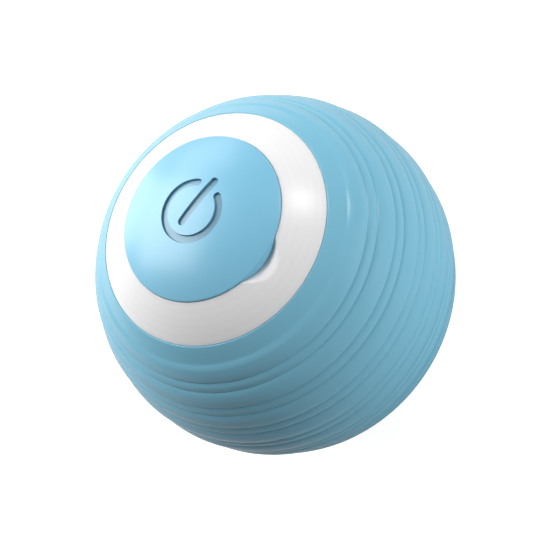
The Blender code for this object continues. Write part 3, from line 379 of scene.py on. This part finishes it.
def board_parts(name, material, height, ends, places):
    """Small parts soldered on the board, each at x, y and a turn: their bodies or their ends."""
    bm = bmesh.new()
    half = SOLDERED_LENGTH / 2
    side = SOLDERED_WIDTH / 2 - END_PROUD
    spans = [(SOLDERED_END - half, half - SOLDERED_END)]
    if ends:
        side = SOLDERED_WIDTH / 2
        spans = [(-half, SOLDERED_END - half), (half - SOLDERED_END, half)]
    for x, y, degrees in places:
        made = []
        for start, end in spans:
            made += block(bm, (start, -side, 0), (end, side, height))
        turn = Matrix.Rotation(math.radians(degrees), 4, "Z")
        place = Matrix.Translation((x * MM, y * MM, board_top)) @ turn
        bmesh.ops.transform(bm, matrix=place, verts=made)
    soften(bm, bm.edges[:], SOLDERED_ROUND, 2)
    finished(name, bm, material, "ball")


RESISTORS = [(3.6, 3.2, 0), (5.6, 3.2, 0), (3.6, 4.5, 0)]
RESISTORS += [(0.9, 5.2, 90), (2.2, 6.9, 0), (-0.9, -5.4, 90)]
CAPACITORS = [(3.9, -3.2, 0), (3.9, -4.5, 0), (6.4, -2.2, 90)]
CAPACITORS += [(0.8, -5.4, 90), (1.8, -7.2, 0), (7.6, 1.6, 90)]
RESISTOR_HEIGHT = 0.45 * MM
CAPACITOR_HEIGHT = 0.75 * MM
BODY_LOW = 0.03 * MM
tin = plated("tin", srgb(206, 206, 204), 0.34)
tan_ceramic = moulded("tan_ceramic", srgb(150, 116, 84), 0.5, 4000.0)
for name, ceramic, height, places in (
    ("resistor", black_plastic, RESISTOR_HEIGHT, RESISTORS),
    ("capacitor", tan_ceramic, CAPACITOR_HEIGHT, CAPACITORS),
):
    board_parts(f"{name}_bodies", ceramic, height - BODY_LOW, False, places)
    board_parts(f"{name}_ends", tin, height, True, places)

# The switch is a tin can over a black base, riveted at its corners, with four flat feet
FOOT_TUCK = 0.02 * MM
FOOT_REACH = 0.7 * MM
FOOT_WIDTH = 0.6 * MM
FOOT_RISE = 0.25 * MM
RIVET_ASIDE = (0.5 * MM, 0.45 * MM)
RIVET_FOOT = 0.26 * MM
RIVET_HEAD = 0.2 * MM
RIVET_HEIGHT = 0.1 * MM
RIVET_LIFT = 0.03 * MM
wear(tin, "tact_switch")
switch_low, switch_high = (Vector(corner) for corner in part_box("tact_switch"))
feet = bmesh.new()
rivets = bmesh.new()
for x in (switch_low.x, switch_high.x):
    for y in (switch_low.y, switch_high.y):
        out_x = math.copysign(1.0, x)
        in_y = -math.copysign(1.0, y)
        heel = (x - out_x * FOOT_TUCK, y, board_top)
        toe = (x + out_x * FOOT_REACH, y + in_y * FOOT_WIDTH, board_top + FOOT_RISE)
        block(feet, heel, toe)
        spot_x = x - out_x * RIVET_ASIDE[0]
        spot_y = y + in_y * RIVET_ASIDE[1]
        bmesh.ops.create_cone(
            rivets,
            cap_ends=True,
            segments=20,
            radius1=RIVET_FOOT,
            radius2=RIVET_HEAD,
            depth=RIVET_HEIGHT,
            matrix=Matrix.Translation((spot_x, spot_y, switch_high.z + RIVET_LIFT)),
        )
bmesh.ops.recalc_face_normals(feet, faces=feet.faces)
finished("switch_feet", feet, tin, "ball")
finished("switch_rivets", rivets, black_plastic, "ball")

# The knob that the disc's stem presses is round, with its upper edge rounded off
PLUNGER_RADIUS = 0.95 * MM
PLUNGER_ROUND = 0.25 * MM
plunger_low, plunger_high = (corner[2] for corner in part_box("switch_plunger"))
bm = bmesh.new()
draw_through(
    bm,
    profile_point(bm, 0.0, plunger_low),
    (PLUNGER_RADIUS, plunger_low),
    (PLUNGER_RADIUS, plunger_high),
    (0.0, plunger_high),
)
close_round(bm, 48)
soften(bm, edges_at(bm, PLUNGER_RADIUS, plunger_high), PLUNGER_ROUND, 4)
knob = finished("plunger_knob", bm, black_plastic, "plunger")
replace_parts(knob, "switch_plunger")

# The socket's shell is drawn from one strip of steel, and its tongue carries gilt contacts
SOCKET_CORNER = 1.2 * MM
SOCKET_RIM = 0.35 * MM
SOCKET_WELL = 5.2 * MM
SOCKET_LIP_ROUND = 0.1 * MM
TONGUE_ROUND = 0.12 * MM
CONTACTS_A_SIDE = 12
CONTACT_PITCH = 0.5 * MM
CONTACT_HALF_WIDTH = 0.13 * MM
CONTACT_HALF_THICKNESS = 0.025 * MM
CONTACT_LOW = 3.6 * MM
CONTACT_HIGH = 0.35 * MM
socket_low, socket_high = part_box("charging_socket")
bm = bmesh.new()
block(bm, socket_low, socket_high)
uprights = [e for e in bm.edges if abs(e.verts[0].co.z - e.verts[1].co.z) > MM]
soften(bm, uprights, SOCKET_CORNER, 8)
mouth = max(bm.faces, key=lambda face: face.calc_center_median().z)
bmesh.ops.inset_region(bm, faces=[mouth], thickness=SOCKET_RIM)
well = bmesh.ops.extrude_discrete_faces(bm, faces=[mouth])["faces"][0]
bmesh.ops.translate(bm, vec=(0, 0, -SOCKET_WELL), verts=well.verts)
rim = [e for e in bm.edges if min(v.co.z for v in e.verts) > socket_high[2] - NEAR]
rim = [e for e in rim if len(e.link_faces) == 2 and e.calc_face_angle() > 1.0]
soften(bm, rim, SOCKET_LIP_ROUND)
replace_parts(finished("socket_shell", bm, steel, "ball"), "charging_socket")

tongue_low, tongue_high = (Vector(corner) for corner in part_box("socket_tongue"))
bm = bmesh.new()
block(bm, tongue_low, tongue_high)
soften(bm, bm.edges[:], TONGUE_ROUND)
tongue = finished("tongue_blade", bm, black_plastic, "ball")
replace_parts(tongue, "socket_tongue")
gilt = plated("gilt", srgb(232, 196, 110), 0.24)
bm = bmesh.new()
for x in (tongue_low.x, tongue_high.x):
    for contact in range(CONTACTS_A_SIDE):
        y = (contact - (CONTACTS_A_SIDE - 1) / 2) * CONTACT_PITCH
        low = (x - CONTACT_HALF_THICKNESS, y - CONTACT_HALF_WIDTH, tongue_high.z - CONTACT_LOW)
        high = (x + CONTACT_HALF_THICKNESS, y + CONTACT_HALF_WIDTH, tongue_high.z - CONTACT_HIGH)
        block(bm, low, high)
finished("socket_contacts", bm, gilt, "ball")

# Each lamp is a block of yellow gel over its die
lamp_gel = moulded("lamp", srgb(244, 232, 150), 0.22, 1500.0, 0.003 * MM)
wear(lamp_gel, "led_1", "led_2", "led_3", "led_4")

# Cap carrier. A white moulded ring that the disc's legs snap into; it stands on the
# board and lifts off with the disc.
CARRIER_OUTER = 9.5 * MM
CARRIER_INNER = 8.75 * MM
CARRIER_BORE = 7.25 * MM
CARRIER_WEB = 0.8 * MM
CARRIER_SIDES = 192
CARRIER_SHOULDER = 0.3 * MM
CARRIER_ROUND = 0.12 * MM
GUSSETS = 12
GUSSET_START = 8.0 * MM
GUSSET_END = 8.9 * MM
GUSSET_HALF_WIDTH = 0.3 * MM
GUSSET_DEPTH = 0.8 * MM
GUSSET_OVERLAP = 0.1 * MM

carrier_low, carrier_high = (corner[2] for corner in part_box("cap_carrier"))
web_low = carrier_high - CARRIER_WEB
bm = bmesh.new()
foot = profile_point(bm, CARRIER_INNER, carrier_low)
corner = draw_through(
    bm,
    foot,
    (CARRIER_OUTER, carrier_low),
    (CARRIER_OUTER, carrier_high),
    (CARRIER_BORE, carrier_high),
    (CARRIER_BORE, web_low),
    (CARRIER_INNER, web_low),
)
bm.edges.new((corner, foot))
close_round(bm, CARRIER_SIDES)
soften(bm, edges_at(bm, CARRIER_OUTER, carrier_high), CARRIER_SHOULDER, 5)
for radius, height in (
    (CARRIER_BORE, carrier_high),
    (CARRIER_BORE, web_low),
    (CARRIER_OUTER, carrier_low),
):
    soften(bm, edges_at(bm, radius, height), CARRIER_ROUND)
# Gussets stiffen the web where it meets the wall; each tapers off towards the bore
for step in range(GUSSETS):
    gusset = block(
        bm,
        (GUSSET_START, -GUSSET_HALF_WIDTH, web_low - GUSSET_DEPTH),
        (GUSSET_END, GUSSET_HALF_WIDTH, web_low + GUSSET_OVERLAP),
    )
    for vert in gusset:
        if vert.co.x < (GUSSET_START + GUSSET_END) / 2 and vert.co.z < web_low:
            vert.co.z = web_low - GUSSET_OVERLAP
    turn = Matrix.Rotation(math.tau * (step + 0.5) / GUSSETS, 4, "Z")
    bmesh.ops.transform(bm, matrix=turn, verts=gusset)
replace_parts(finished("carrier_ring", bm, white_plastic, "cap"), "cap_carrier")

# Light ring. Milky polycarbonate, moulded glossy, that spreads the lamps' light. A
# nail scoop is pressed into its inner edge, to lift the cap by.
BALL_RADIUS = 21.5 * MM
RING_SPHERE = 21.27 * MM
RING_BORE = 9.575 * MM
RING_EDGE_RADIUS = 13.6 * MM
RING_UNDER = 19.95 * MM
SPIGOT_RADIUS = 11.8 * MM
SCOOP_REACH = 1.6 * MM
SCOOP_HALF_LENGTH = 2.95 * MM
SCOOP_ASIDE = 0.2 * MM
SCOOP_DEPTH = 0.78 * MM
SCOOP_FALL = 1.15
RING_OUTER_ROUND = 0.07 * MM
RING_INNER_ROUND = 0.03 * MM
ROUND_SIDES = 384


def on_sphere(bm, radius, angle):
    """A vertex of a profile on a sphere, at this angle from +Z."""
    return profile_point(bm, radius * math.sin(angle), radius * math.cos(angle))


def sweep_arc(bm, vert, angle, steps):
    """Draws a profile on round the ball's centre from its last vertex, which it returns."""
    swept = bmesh.ops.spin(bm, geom=[vert], axis=(0, 1, 0), angle=angle, steps=steps)
    return [v for v in swept["geom_last"] if isinstance(v, bmesh.types.BMVert)][0]


ring_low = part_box("light_ring")[0][2]
bore_angle = math.asin(RING_BORE / RING_SPHERE)
edge_angle = math.asin(RING_EDGE_RADIUS / RING_SPHERE)
bore_top = RING_SPHERE * math.cos(bore_angle)
bm = bmesh.new()
start = on_sphere(bm, RING_SPHERE, bore_angle)
outer = sweep_arc(bm, start, edge_angle - bore_angle, 30)
corner = draw_to(bm, outer, RING_UNDER * math.sin(edge_angle), RING_UNDER * math.cos(edge_angle))
seat_angle = math.asin(SPIGOT_RADIUS / RING_UNDER)
corner = sweep_arc(bm, corner, seat_angle - edge_angle, 3)
corner = draw_through(bm, corner, (SPIGOT_RADIUS, ring_low), (RING_BORE, ring_low))
draw_to(bm, corner, RING_BORE, bore_top, 16)
close_round(bm, ROUND_SIDES)
edge_height = RING_SPHERE * math.cos(edge_angle)
soften(bm, edges_at(bm, RING_EDGE_RADIUS, edge_height), RING_OUTER_ROUND)
soften(bm, edges_at(bm, RING_BORE, bore_top), RING_INNER_ROUND)


def scoop_drop(x, y):
    """How far the nail scoop lowers the ring's face here: deep at the disc, gone at its rim."""
    across = (y - SCOOP_ASIDE) / SCOOP_HALF_LENGTH
    share = 1.0 - across**2
    if x < 0 or share <= 0:
        return 0.0
    along = (math.hypot(x, y) - RING_BORE) / (SCOOP_REACH * share)
    return SCOOP_DEPTH * share * max(0.0, 1.0 - along) ** SCOOP_FALL


# The scoop draws down the ring's face, and the bore's wall under it in proportion
BORE_WALL = 0.02 * MM
FACE_SHARE = 0.95
for vert in bm.verts:
    x, y, z = vert.co
    radius = math.hypot(x, y)
    face = math.sqrt(RING_SPHERE**2 - min(radius, RING_EDGE_RADIUS)**2)
    share = (z - ring_low) / (face - ring_low)
    if z > ring_low and (radius < RING_BORE + BORE_WALL or share > FACE_SHARE):
        vert.co.z = z - scoop_drop(x, y) * min(share, 1.0)

milky = Finish("milky_plastic", {
    "IOR": 1.55,
    "Subsurface Weight": 0.3,
    "Subsurface Radius": (1.0, 1.0, 1.0),
    "Subsurface Scale": 0.8 * MM,
})
swirl = milky.noise(160.0, 3.0)
ripple = milky.node(
    "ShaderNodeTexWave",
    {"wave_type": "RINGS", "rings_direction": "Z"},
    {"Vector": milky.place, "Scale": 420.0, "Distortion": 0.6, "Detail": 1.0, "Detail Scale": 0.4},
)
cloud = swirl * 0.5 + ripple * 0.5
milky.dress({
    "Base Color": milky.between(cloud, srgb(225, 225, 226), srgb(228, 228, 229)),
    "Roughness": 0.29 + (swirl - 0.5) * 0.02,
})
light_ring = finished("light_ring_gloss", bm, milky.material, "ball")
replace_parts(light_ring, "light_ring")

# Power button. A domed disc moulded in blue ABS with a satin face, the power mark
# sunk into it, a stem over the switch and three hooked legs that hold it.
DISC_SPHERE = 21.41 * MM
DISC_UNDER = 20.21 * MM
DISC_RADIUS = 9.54 * MM
SKIRT_INNER = 8.77 * MM
SKIRT_LOW = 18.128 * MM
STEM_RADIUS = 1.3 * MM
STEM_LOW = 17.128 * MM
DISC_ROUND = 0.1 * MM
MARK_RADIUS = 3.65 * MM
MARK_STROKE = 0.79 * MM
MARK_DEPTH = 0.28 * MM
MARK_HALF_OPEN = math.radians(28.5)
MARK_WALL = 0.07 * MM
MARK_REACH = 4.6 * MM
BAR_WIDTH = 0.88 * MM
BAR_TOP = 4.35 * MM
BAR_BOTTOM = 1.94 * MM
LEG_OUTLINE = [(6.15, 15.728), (7.05, 15.728), (7.55, 16.328)]
LEG_OUTLINE += [(7.05, 16.328), (7.05, 19.6), (6.15, 19.6)]
LEG_WIDTH = 2.2 * MM
LEG_TURNS = (0, 105, 255)

mark_edge = math.asin(MARK_REACH / DISC_SPHERE)
rim_angle = math.asin(DISC_RADIUS / DISC_SPHERE)
rim_height = DISC_SPHERE * math.cos(rim_angle)
skirt_angle = math.asin(SKIRT_INNER / DISC_UNDER)
stem_angle = math.asin(STEM_RADIUS / DISC_UNDER)

bm = bmesh.new()
middle = on_sphere(bm, DISC_SPHERE, 0.0)
corner = sweep_arc(bm, middle, mark_edge, 92)
corner = sweep_arc(bm, corner, rim_angle - mark_edge, 26)
corner = draw_to(bm, corner, DISC_RADIUS, SKIRT_LOW, 3)
corner = draw_to(bm, corner, SKIRT_INNER, SKIRT_LOW)
corner = draw_to(bm, corner, SKIRT_INNER, DISC_UNDER * math.cos(skirt_angle))
corner = sweep_arc(bm, corner, stem_angle - skirt_angle, 12)
draw_through(bm, corner, (STEM_RADIUS, STEM_LOW), (0.0, STEM_LOW))
close_round(bm, ROUND_SIDES)
soften(bm, edges_at(bm, DISC_RADIUS, rim_height), DISC_ROUND, 4)


def off_mark(x, y):
    """Distance from the edge of the power mark's strokes; less than nothing inside them."""
    centre = MARK_RADIUS - MARK_STROKE / 2
    turn = math.atan2(x, y)
    if abs(turn) < MARK_HALF_OPEN:
        turn = math.copysign(MARK_HALF_OPEN, turn)
    ring = math.hypot(x - centre * math.sin(turn), y - centre * math.cos(turn)) - MARK_STROKE / 2
    half = BAR_WIDTH / 2
    nearest = min(max(y, half - BAR_BOTTOM), BAR_TOP - half)
    bar = math.hypot(x, y - nearest) - half
    return min(ring, bar)


# Vertices next to the top or the foot of the mark's wall are drawn on to it, to keep it crisp
GRID = 0.05 * MM
STEP = 0.002 * MM
for vert in bm.verts:
    x, y = vert.co.x, vert.co.y
    if math.hypot(x, y) > MARK_REACH or vert.co.length < DISC_SPHERE - NEAR:
        continue
    off = off_mark(x, y)
    if abs(off) < MARK_WALL / 2 + GRID / 2:
        edge = math.copysign(MARK_WALL / 2, off)
        slope_x = (off_mark(x + STEP, y) - off_mark(x - STEP, y)) / (2 * STEP)
        slope_y = (off_mark(x, y + STEP) - off_mark(x, y - STEP)) / (2 * STEP)
        x += (edge - off) * slope_x
        y += (edge - off) * slope_y
        vert.co.x, vert.co.y = x, y
        vert.co *= DISC_SPHERE / vert.co.length
        off = edge
    if off < 0:
        vert.co *= 1 - MARK_DEPTH / DISC_SPHERE

# The hooked legs that snap into the cap carrier
for degrees in LEG_TURNS:
    first = set(bm.verts)
    side = bm.faces.new([bm.verts.new((x * MM, -LEG_WIDTH / 2, z * MM)) for x, z in LEG_OUTLINE])
    grown = bmesh.ops.extrude_face_region(bm, geom=[side])["geom"]
    far_side = [v for v in grown if isinstance(v, bmesh.types.BMVert)]
    bmesh.ops.translate(bm, vec=(0, LEG_WIDTH, 0), verts=far_side)
    leg = [v for v in bm.verts if v not in first]
    bmesh.ops.recalc_face_normals(bm, faces=list({f for v in leg for f in v.link_faces}))
    turn = Matrix.Rotation(math.radians(degrees), 3, "Z")
    bmesh.ops.rotate(bm, verts=leg, cent=(0, 0, 0), matrix=turn)

BLUE = (0.174, 0.45, 0.618, 1.0)
# Painted shade: the power mark's walls are painted at 0.6 of the face's blue, and its floor a darker
# blue, for the shade that falls in the sunk groove
MARK_WALL_PAINTED_SHADE = scaled(BLUE, 0.6)
MARK_FLOOR_PAINTED_SHADE = (0.115, 0.29, 0.4, 1.0)
FACE_LOWEST = 20.6 * MM
NEAR_FACE = 0.02 * MM
blue_plastic = Finish("blue_plastic", {"IOR": 1.5})
grain = blue_plastic.noise(4200.0, 2.0)
drift = blue_plastic.noise(90.0, 3.0)
reach = blue_plastic.from_centre()
depth = DISC_SPHERE - reach
height = blue_plastic.node("ShaderNodeSeparateXYZ", {}, {0: blue_plastic.place}, "Z")
# Masks for the mark's painted shade: the sunk walls and floor, then the floor alone
sunk = (height > FACE_LOWEST) * (depth > NEAR_FACE)
mark_floor = sunk * (depth > MARK_DEPTH - NEAR_FACE)
face = blue_plastic.between(drift, scaled(BLUE, 0.98), scaled(BLUE, 1.02))
mark = blue_plastic.between(mark_floor, MARK_WALL_PAINTED_SHADE, MARK_FLOOR_PAINTED_SHADE)
blue_plastic.dress({
    "Base Color": blue_plastic.between(sunk, face, mark),
    "Roughness": 0.3 + (grain - 0.5) * 0.06,
})
blue_plastic.relief(grain, 0.004 * MM)
power_button = finished("power_button_disc", bm, blue_plastic.material, "button")
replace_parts(power_button, "power_button")

# Sleeve. One moulding of soft silicone, stretched over the closed shells: a plain
# band round its mouth, then wide and narrow ribs, and a smooth pad at the rear.
SLEEVE_INNER = 19.85 * MM
CREASE_DEPTH = 0.24 * MM
NARROW_SINK = 0.1 * MM
CROWN = 0.16 * MM
BAND_SINK = 0.15 * MM
BAND_SPHERE = BALL_RADIUS - BAND_SINK
FIRST_RISE = 0.75 * MM
WIDE_RIB = 2.5 * MM
NARROW_RIB = 1.27 * MM
RIB_COUNT = 12
BAND_WIDTH = 2.25 * MM
LIP_GAP = 0.03 * MM
LIP_ROUND = 0.07 * MM
PAD_EDGE = 0.7 * MM
SLEEVE_SIDES = 192
# The arcs that each wide rib and the narrow one after it are drawn in, closest at the creases
RIB_ARCS = ((0.4, 5), (1.7, 10), (0.4, 5), (0.3, 4), (0.67, 4), (0.3, 4))

lip_angle = edge_angle + LIP_GAP / RING_SPHERE
first_rib = edge_angle + BAND_WIDTH / BALL_RADIUS
last_rib = first_rib + RIB_COUNT * (WIDE_RIB + NARROW_RIB) / BALL_RADIUS


def sleeve_sink(angle):
    """How far the sleeve's face lies under the ribs' crowns, at this angle from +Z."""
    along = (angle - first_rib) * BALL_RADIUS
    if along < 0:
        return BAND_SINK
    rib, along = divmod(along, WIDE_RIB + NARROW_RIB)
    if rib >= RIB_COUNT:
        share = max(0.0, 1 - (angle - last_rib) * BALL_RADIUS / PAD_EDGE)
        return CREASE_DEPTH * share**3
    if along < WIDE_RIB:
        across = 2 * along / WIDE_RIB - 1
        if rib == 0 and across < 0:
            return BAND_SINK * max(0.0, 1.0 - along / FIRST_RISE)**1.4
        return CROWN * across**2 + (CREASE_DEPTH - CROWN) * across**6
    across = 2 * (along - WIDE_RIB) / NARROW_RIB - 1
    return NARROW_SINK + (CREASE_DEPTH - NARROW_SINK) * across**2


bm = bmesh.new()
lip = on_sphere(bm, BALL_RADIUS, lip_angle)
corner = sweep_arc(bm, lip, first_rib - lip_angle, 8)
for rib in range(RIB_COUNT):
    for length, steps in RIB_ARCS:
        corner = sweep_arc(bm, corner, length * MM / BALL_RADIUS, steps)
corner = sweep_arc(bm, corner, PAD_EDGE / BALL_RADIUS, 5)
sweep_arc(bm, corner, math.pi - last_rib - PAD_EDGE / BALL_RADIUS, 8)
for vert in bm.verts:
    angle = math.atan2(vert.co.x, vert.co.z)
    vert.co *= 1 - sleeve_sink(angle) / BALL_RADIUS
under = on_sphere(bm, SLEEVE_INNER, lip_angle)
bm.edges.new((lip, under))
sweep_arc(bm, under, math.pi - lip_angle, 24)
close_round(bm, SLEEVE_SIDES)
lip_edge = edges_at(bm, BAND_SPHERE * math.sin(lip_angle), BAND_SPHERE * math.cos(lip_angle))
soften(bm, lip_edge, LIP_ROUND)

SILICONE_BLUE = (0.184, 0.463, 0.612, 1.0)
blue_silicone = Finish("blue_silicone", {"IOR": 1.42, "Specular IOR Level": 0.3})
pores = blue_silicone.noise(3400.0, 3.0)
bloom = blue_silicone.noise(70.0, 3.0)
blue_silicone.dress({
    "Base Color": blue_silicone.between(
        bloom, scaled(SILICONE_BLUE, 0.97), scaled(SILICONE_BLUE, 1.02)
    ),
    "Roughness": 0.2 + (bloom - 0.5) * 0.03 + (pores - 0.5) * 0.02,
})
blue_silicone.relief(pores, 0.001 * MM)
sleeve = finished("sleeve_skin", bm, blue_silicone.material, "ball")
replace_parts(sleeve, "sleeve")

# Studio. A pale table under the ball, soft lamps over it, and a long lens that looks
# down on the disc at the photograph's angle.
FRAME_PIXELS = 551
BALL_PIXELS = 180.5
CAMERA_DISTANCE = 7.0 * BALL_RADIUS
SENSOR = 36.0
SHIFT_PIXELS = (0.15, -0.86)
look_back = Vector((0.5308, 0.0, 0.8475)).normalized()
camera_right = Vector((0.6739, 0.6063, -0.4221))
camera_up = look_back.cross(camera_right).normalized()
camera_right = camera_up.cross(look_back)

lens_pixels = BALL_PIXELS * math.sqrt(CAMERA_DISTANCE**2 - BALL_RADIUS**2) / BALL_RADIUS
camera_data = bpy.data.cameras.new("camera")
camera_data.sensor_width = SENSOR
camera_data.lens = SENSOR * lens_pixels / FRAME_PIXELS
camera_data.shift_x = SHIFT_PIXELS[0] / FRAME_PIXELS
camera_data.shift_y = SHIFT_PIXELS[1] / FRAME_PIXELS
camera_data.clip_start = 1.0 * MM
camera_data.clip_end = 10.0
camera = bpy.data.objects.new("camera", camera_data)
axes = Matrix((camera_right, camera_up, look_back)).transposed().to_4x4()
camera.matrix_world = Matrix.Translation(look_back * CAMERA_DISTANCE) @ axes
bpy.context.scene.collection.objects.link(camera)
bpy.context.scene.camera = camera


def softbox(name, across, up, towards_camera, distance, size, power, mirrored=True):
    """An area lamp placed in the camera's own directions; gloss shows it if it is mirrored."""
    direction = camera_right * across + camera_up * up + look_back * towards_camera
    direction.normalize()
    data = bpy.data.lights.new(name, "AREA")
    data.shape = "SQUARE"
    data.size = size
    data.energy = power
    lamp = bpy.data.objects.new(name, data)
    turn = direction.to_track_quat("Z", "Y").to_matrix().to_4x4()
    lamp.matrix_world = Matrix.Translation(direction * distance) @ turn
    lamp.visible_glossy = mirrored
    bpy.context.scene.collection.objects.link(lamp)


softbox("left_box", -0.85, 0.42, 0.3, 0.5, 0.4, 3.4)
softbox("left_rim_box", -0.86, 0.4, -0.30, 0.4, 0.2, 0.48)
softbox("upper_left_box", -0.5, 0.85, 0.0, 0.4, 0.2, 0.37)
softbox("upper_box", 0.254, 0.693, 0.675, 0.4, 0.08, 0.25)
softbox("right_box", 0.86, 0.15, 0.5, 0.4, 0.2, 1.5, mirrored=False)


def seen_by(finish, ray):
    """1 for the rays of this kind that see the surface."""
    return finish.node("ShaderNodeLightPath", out=f"Is {ray} Ray")


def by_gloss(finish):
    """1 for the rays by which gloss and glass see the surface."""
    return finish.maths("MAXIMUM", seen_by(finish, "Glossy"), seen_by(finish, "Transmission"))


class Sky(Finish):
    """The world's nodes, laid in the same way as a material's."""

    def __init__(self, world):
        self.tree = world.node_tree
        self.shader = self.tree.nodes["Background"]


world = bpy.data.worlds.new("studio")
world.use_nodes = True
bpy.context.scene.world = world
sky = Sky(world)
sky_white = sky.maths("MAXIMUM", seen_by(sky, "Camera"), by_gloss(sky))
sky.dress({"Color": (1.0, 1.0, 1.0, 1.0), "Strength": sky_white})

TABLE_HALF = 4.0
# Gloss sees a painted shadow on the table near the ball, where the ball keeps the light off it, and
# the table clear further out
TABLE_PAINTED_SHADOW = 1.5 * BALL_RADIUS
TABLE_CLEAR = 150 * MM
TABLE_LIT = 0.9
TABLE_NEAR_WHITE = 0.88
bm = bmesh.new()
bmesh.ops.create_grid(bm, x_segments=1, y_segments=1, size=TABLE_HALF)
floor_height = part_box("sleeve")[0][2]
bmesh.ops.translate(bm, vec=(0, 0, floor_height), verts=bm.verts)
mesh = bpy.data.meshes.new("floor")
bm.to_mesh(mesh)
bm.free()
floor = bpy.data.objects.new("floor", mesh)
bpy.context.scene.collection.objects.link(floor)
table_top = Finish(
    "table_top", {"Base Color": (0.49, 0.49, 0.49, 1.0), "Roughness": 0.9, "IOR": 1.2}
)
away = table_top.from_centre()
# The painted shadow in the table's reflections: gloss sees no emission close to the ball, fading in
# further out
open_share = table_top.maths("MINIMUM", (away - TABLE_PAINTED_SHADOW) * (1 / TABLE_CLEAR), 1.0)
by_ray = table_top.maths("MAXIMUM", seen_by(table_top, "Camera"), by_gloss(table_top) * open_share)
# Beyond the lamps' reach the table turns as white as the room behind it
far_share = table_top.maths("MINIMUM", away * (1 / TABLE_LIT), 1.0)
table_top.dress({
    "Emission Color": (1.0, 1.0, 1.0, 1.0),
    "Emission Strength": by_ray * (far_share * (1 - TABLE_NEAR_WHITE) + TABLE_NEAR_WHITE),
})
mesh.materials.append(table_top.material)

bpy.context.scene.view_settings.view_transform = "Standard"
